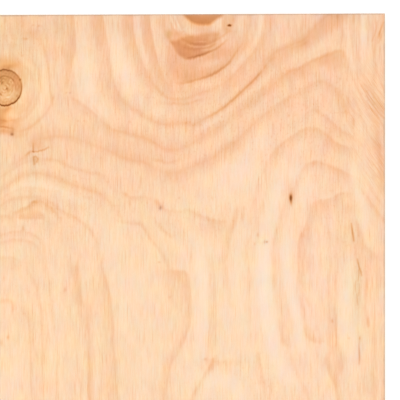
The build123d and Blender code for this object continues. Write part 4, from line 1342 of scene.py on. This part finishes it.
def finish_piece(piece):
    """Puts the piece's place in its mesh and ties it to the CAD part."""
    start_piece()
    piece.select_set(True)
    bpy.context.view_layer.objects.active = piece
    bpy.ops.object.transform_apply(location=True, rotation=True, scale=True)
    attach(piece, "root")
    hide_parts("plywood_sheet")


def drawn_grid():
    """The drawn tone wherever the photographed corner's finest cells can have a corner."""
    count = CORNER_CELLS * FINEST + 1
    x = WIDTH / 2 - ARRIS - np.arange(count) * CELL_X / FINEST
    y = LENGTH / 2 - ARRIS - np.arange(count) * CELL_Y / FINEST
    right, down = figure_place(*np.meshgrid(x, y))
    return figure_tone(right, down) * figure_share(right, down)


def grid_index(places):
    """Columns and rows of the grid for places on the sheet."""
    columns = np.rint((WIDTH / 2 - ARRIS - places[:, 0]) / CELL_X * FINEST).astype(int)
    rows = np.rint((LENGTH / 2 - ARRIS - places[:, 1]) / CELL_Y * FINEST).astype(int)
    return columns, rows


def unevenness(centres, cells, drawn):
    """How far the drawn tone strays from an even blend of a face's corners, for cells of one size."""
    columns, rows = grid_index(centres)
    columns = columns - cells // 2
    rows = rows - cells // 2
    worst = np.zeros(len(centres))
    for i in range(cells + 1):
        for j in range(cells + 1):
            u = i / cells
            v = j / cells
            near = drawn[rows, columns] * (1 - u) + drawn[rows, columns + cells] * u
            far = drawn[rows + cells, columns] * (1 - u) + drawn[rows + cells, columns + cells] * u
            stray = np.abs(drawn[rows + j, columns + i] - near * (1 - v) - far * v)
            worst = np.maximum(worst, stray)
    return worst


def refine_for_figure(face, drawn):
    """Divides the photographed corner finer and finer where the drawn lines need it."""
    bpy.ops.object.mode_set(mode="OBJECT")
    centres, corners, normals = face_data(face)
    wanted = centres[:, 0] > WIDTH / 2 - ARRIS - CORNER_CELLS * CELL_X
    wanted &= centres[:, 1] > LENGTH / 2 - ARRIS - CORNER_CELLS * CELL_Y
    select_faces(face, wanted)
    bpy.ops.mesh.subdivide(number_cuts=FIRST_CUTS)
    cells = FINEST // (FIRST_CUTS + 1)
    for limit in STRAY_LIMITS:
        bpy.ops.object.mode_set(mode="OBJECT")
        centres, corners, normals = face_data(face)
        areas = np.zeros(len(centres))
        face.data.polygons.foreach_get("area", areas)
        full = CELL_X * CELL_Y * (cells / FINEST) ** 2
        candidates = (corners == 4) & (np.abs(areas / full - 1) < 0.01)
        wanted = np.zeros(len(centres), bool)
        wanted[candidates] = unevenness(centres[candidates], cells, drawn) > limit
        select_faces(face, wanted)
        bpy.ops.mesh.subdivide(number_cuts=1)
        cells //= 2


def face_veneer(finish, edge):
    """The face: its flat, its worn arris all round, its sawn edges and its hidden underside."""
    start_piece()
    bpy.ops.mesh.primitive_grid_add(x_subdivisions=CELLS_ACROSS, y_subdivisions=CELLS_ALONG, size=1,
                                    location=(0, 0, THICKNESS))
    face = bpy.context.object
    face.name = "face_veneer"
    bpy.ops.object.mode_set(mode="EDIT")
    bpy.ops.transform.resize(value=(WIDTH - 2 * ARRIS, LENGTH - 2 * ARRIS, 1))
    drawn = drawn_grid()
    refine_for_figure(face, drawn)
    bpy.ops.mesh.select_all(action="SELECT")
    bpy.ops.mesh.region_to_loop()
    half_width = WIDTH / 2 - ARRIS
    half_length = LENGTH / 2 - ARRIS
    out = 0.0
    down = 0.0
    for degrees in (30, 60, 90):
        angle = np.radians(degrees)
        next_out = ARRIS * np.sin(angle)
        next_down = ARRIS * (1 - np.cos(angle))
        move = {"value": (0, 0, down - next_down)}
        bpy.ops.mesh.extrude_edges_move(TRANSFORM_OT_translate=move)
        wider = (half_width + next_out) / (half_width + out)
        longer = (half_length + next_out) / (half_length + out)
        bpy.ops.transform.resize(value=(wider, longer, 1), center_override=(0, 0, THICKNESS))
        out = next_out
        down = next_down
    bpy.ops.mesh.extrude_edges_move(TRANSFORM_OT_translate={"value": (0, 0, FACE_GLUE - THICKNESS + ARRIS)})
    bpy.ops.mesh.edge_face_add()
    bpy.ops.mesh.select_all(action="SELECT")
    bpy.ops.mesh.normals_make_consistent(inside=False)
    bpy.ops.object.mode_set(mode="OBJECT")
    face.data.materials.append(finish)
    face.data.materials.append(edge)
    centres, corners, normals = face_data(face)
    face.data.polygons.foreach_set("material_index", (normals[:, 2] < 0.9).astype(np.int32))
    finish_piece(face)
    paint_face(face, drawn)
    return face


def paint_face(face, tones):
    """Writes what is drawn of the photographed corner on the face's vertices."""
    places = vertex_places(face)
    right, down = figure_place(places[:, 0], places[:, 1])
    share = figure_share(right, down)
    inside = share > 0
    spots = (right[inside], down[inside])
    columns, rows = grid_index(places[inside])
    ticks = np.minimum(0.3 + add_patches(TICK_AREAS, *spots), 1.2)
    values = {
        "figure_tone": tones[np.maximum(rows, 0), np.maximum(columns, 0)] / 100,
        "figure_share": share[inside],
        "figure_warmth": add_patches(WARM_AREAS, *spots) / 10,
        "figure_ticks": share[inside] * ticks + (1 - share[inside]) * PLAIN_TICKS,
        "figure_greenness": add_patches(GREEN_AREAS, *spots) / 10,
        "figure_slant": np.minimum(add_patches(SLANT_AREAS, *spots), 1),
    }
    for name, drawn in values.items():
        whole = np.full(len(places), PLAIN_TICKS if name == "figure_ticks" else 0.0)
        whole[inside] = drawn
        attribute = face.data.attributes.new(name, "FLOAT", "POINT")
        attribute.data.foreach_set("value", whole.astype(np.float32))


def inner_slab(name, bottom, top, gaps, edge):
    """A hidden veneer whose sawn edges show, with the narrow gaps where its strips don't quite meet."""
    start_piece()
    size = (WIDTH, LENGTH, top - bottom)
    bpy.ops.mesh.primitive_cube_add(size=1, location=(0, 0, (bottom + top) / 2), scale=size)
    slab = bpy.context.object
    slab.name = name
    bpy.ops.object.transform_apply(location=True, rotation=True, scale=True)
    for axis, place, width, depth in gaps:
        cut_gap(slab, axis, place, width, depth)
    slab.data.materials.append(edge)
    finish_piece(slab)
    return slab


def cut_gap(slab, axis, place, width, depth):
    """Two cuts across the edges, and the strip between them pushed in at both sides."""
    normal = (1, 0, 0) if axis == 0 else (0, 1, 0)
    bpy.ops.object.mode_set(mode="EDIT")
    for side in (place - width / 2, place + width / 2):
        bpy.ops.mesh.select_all(action="SELECT")
        point = tuple(side * n for n in normal)
        bpy.ops.mesh.bisect(plane_co=point, plane_no=normal)
    bpy.ops.object.mode_set(mode="OBJECT")
    other = 1 - axis
    reach = (WIDTH / 2, LENGTH / 2)[other]
    for end in (-1, 1):
        centres, corners, normals = face_data(slab)
        strip = np.abs(centres[:, axis] - place) < width * 0.4
        strip &= np.abs(centres[:, other] - end * reach) < 0.0001
        select_faces(slab, strip)
        move = [0, 0, 0]
        move[other] = -end * depth
        bpy.ops.mesh.extrude_region_move(TRANSFORM_OT_translate={"value": tuple(move)})
        bpy.ops.object.mode_set(mode="OBJECT")


def back_veneer(finish, edge):
    """The back: a slab with the arris worn round its lower side."""
    start_piece()
    size = (WIDTH, LENGTH, BACK_GLUE)
    bpy.ops.mesh.primitive_cube_add(size=1, location=(0, 0, BACK_GLUE / 2), scale=size)
    back = bpy.context.object
    back.name = "back_veneer"
    bpy.ops.object.transform_apply(location=True, rotation=True, scale=True)
    centres, corners, normals = face_data(back)
    select_faces(back, normals[:, 2] < -0.9)
    bpy.ops.mesh.region_to_loop()
    bpy.ops.mesh.bevel(offset=ARRIS, segments=3, affect="EDGES", profile=0.5)
    bpy.ops.object.mode_set(mode="OBJECT")
    back.data.materials.append(finish)
    back.data.materials.append(edge)
    centres, corners, normals = face_data(back)
    back.data.polygons.foreach_set("material_index", (normals[:, 2] > -0.9).astype(np.int32))
    finish_piece(back)
    return back


# Stage


def add_floor():
    start_piece()
    bpy.ops.mesh.primitive_plane_add(size=40, location=(0, 0, -0.0002))
    floor = bpy.context.object
    floor.name = "floor"
    pale = bpy.data.materials.new("pale_floor")
    pale.use_nodes = True
    tree = pale.node_tree
    shader = tree.nodes["Principled BSDF"]
    shader.inputs["Base Color"].default_value = (0.86, 0.86, 0.86, 1)
    shader.inputs["Roughness"].default_value = 1.0
    shader.inputs["Specular IOR Level"].default_value = 0.0
    glow = add_node(tree, "ShaderNodeEmission", {"Color": (1, 1, 1, 1)})
    camera_ray = add_node(tree, "ShaderNodeLightPath").outputs["Is Camera Ray"]
    tree.links.new(calc(tree, "MULTIPLY", camera_ray, 0.32), glow.inputs["Strength"])
    both = add_node(tree, "ShaderNodeAddShader", {0: shader.outputs[0], 1: glow.outputs[0]})
    tree.links.new(both.outputs[0], tree.nodes["Material Output"].inputs["Surface"])
    floor.data.materials.append(pale)


def add_lights():
    """Soft light from all round, and a weak broad lamp from above the far left."""
    world = bpy.data.worlds.new("soft_room")
    bpy.context.scene.world = world
    world.use_nodes = True
    tree = world.node_tree
    sky = tree.nodes["Background"]
    sky.inputs["Color"].default_value = (1, 1, 1, 1)
    path = add_node(tree, "ShaderNodeLightPath").outputs
    seen = calc(tree, "MAXIMUM", path["Is Camera Ray"], path["Is Glossy Ray"])
    seen = calc(tree, "MAXIMUM", seen, path["Is Transmission Ray"])
    tree.links.new(calc(tree, "MULTIPLY_ADD", seen, 1 - WORLD_LIGHT, WORLD_LIGHT), sky.inputs["Strength"])
    bpy.ops.object.light_add(type="SUN", location=(0, 0, 3), rotation=(-0.45, 0.35, 0))
    lamp = bpy.context.object
    lamp.data.energy = LAMP_LIGHT
    lamp.data.angle = 0.6


def add_camera():
    """Above the photographed corner and a little to its right, turned back to look at its middle."""
    middle_x = HIGH.x - (FIGURE_RIGHT - FIGURE_MIDDLE) * MM
    middle_y = HIGH.y - (FIGURE_MIDDLE - FIGURE_TOP) * MM
    side = CAMERA_AWAY * np.sin(CAMERA_LEAN)
    up = THICKNESS + CAMERA_AWAY * np.cos(CAMERA_LEAN)
    bpy.ops.object.camera_add(location=(middle_x + side, middle_y, up), rotation=(0, CAMERA_LEAN, 0))
    camera = bpy.context.object
    camera.data.lens = LENS
    camera.data.sensor_width = 36
    bpy.context.scene.camera = camera


bpy.context.scene.view_settings.view_transform = "Standard"
add_camera()
add_lights()
add_floor()

shared = {
    "fibre_grain": fibre_grain_group(),
    "wood_tones": wood_tones_group(),
    "knot": knot_group(),
    "ring_figure": ring_figure_group(),
    "painted_arris_shade": painted_arris_shade_group(),
    "glue_line": glue_line_group(),
    "sawn_edge": sawn_edge_group(),
}
face_finish = broad_side_finish("face_wood", shared, FACE_KNOTS, 11.0, 0.25, True)
back_finish = broad_side_finish("back_wood", shared, BACK_KNOTS, 14.0, 0.34, False)
edge_along_y = edge_finish("sawn_edge_grain_along", shared, "Y")
edge_along_x = edge_finish("sawn_edge_grain_across", shared, "X")

face_veneer(face_finish, edge_along_y)
inner_slab("upper_crossband", UPPER_GLUE, FACE_GLUE, UPPER_GAPS, edge_along_x)
inner_slab("core_veneer", LOWER_GLUE, UPPER_GLUE, CORE_GAPS, edge_along_y)
inner_slab("lower_crossband", BACK_GLUE, LOWER_GLUE, LOWER_GAPS, edge_along_x)
back_veneer(back_finish, edge_along_y)
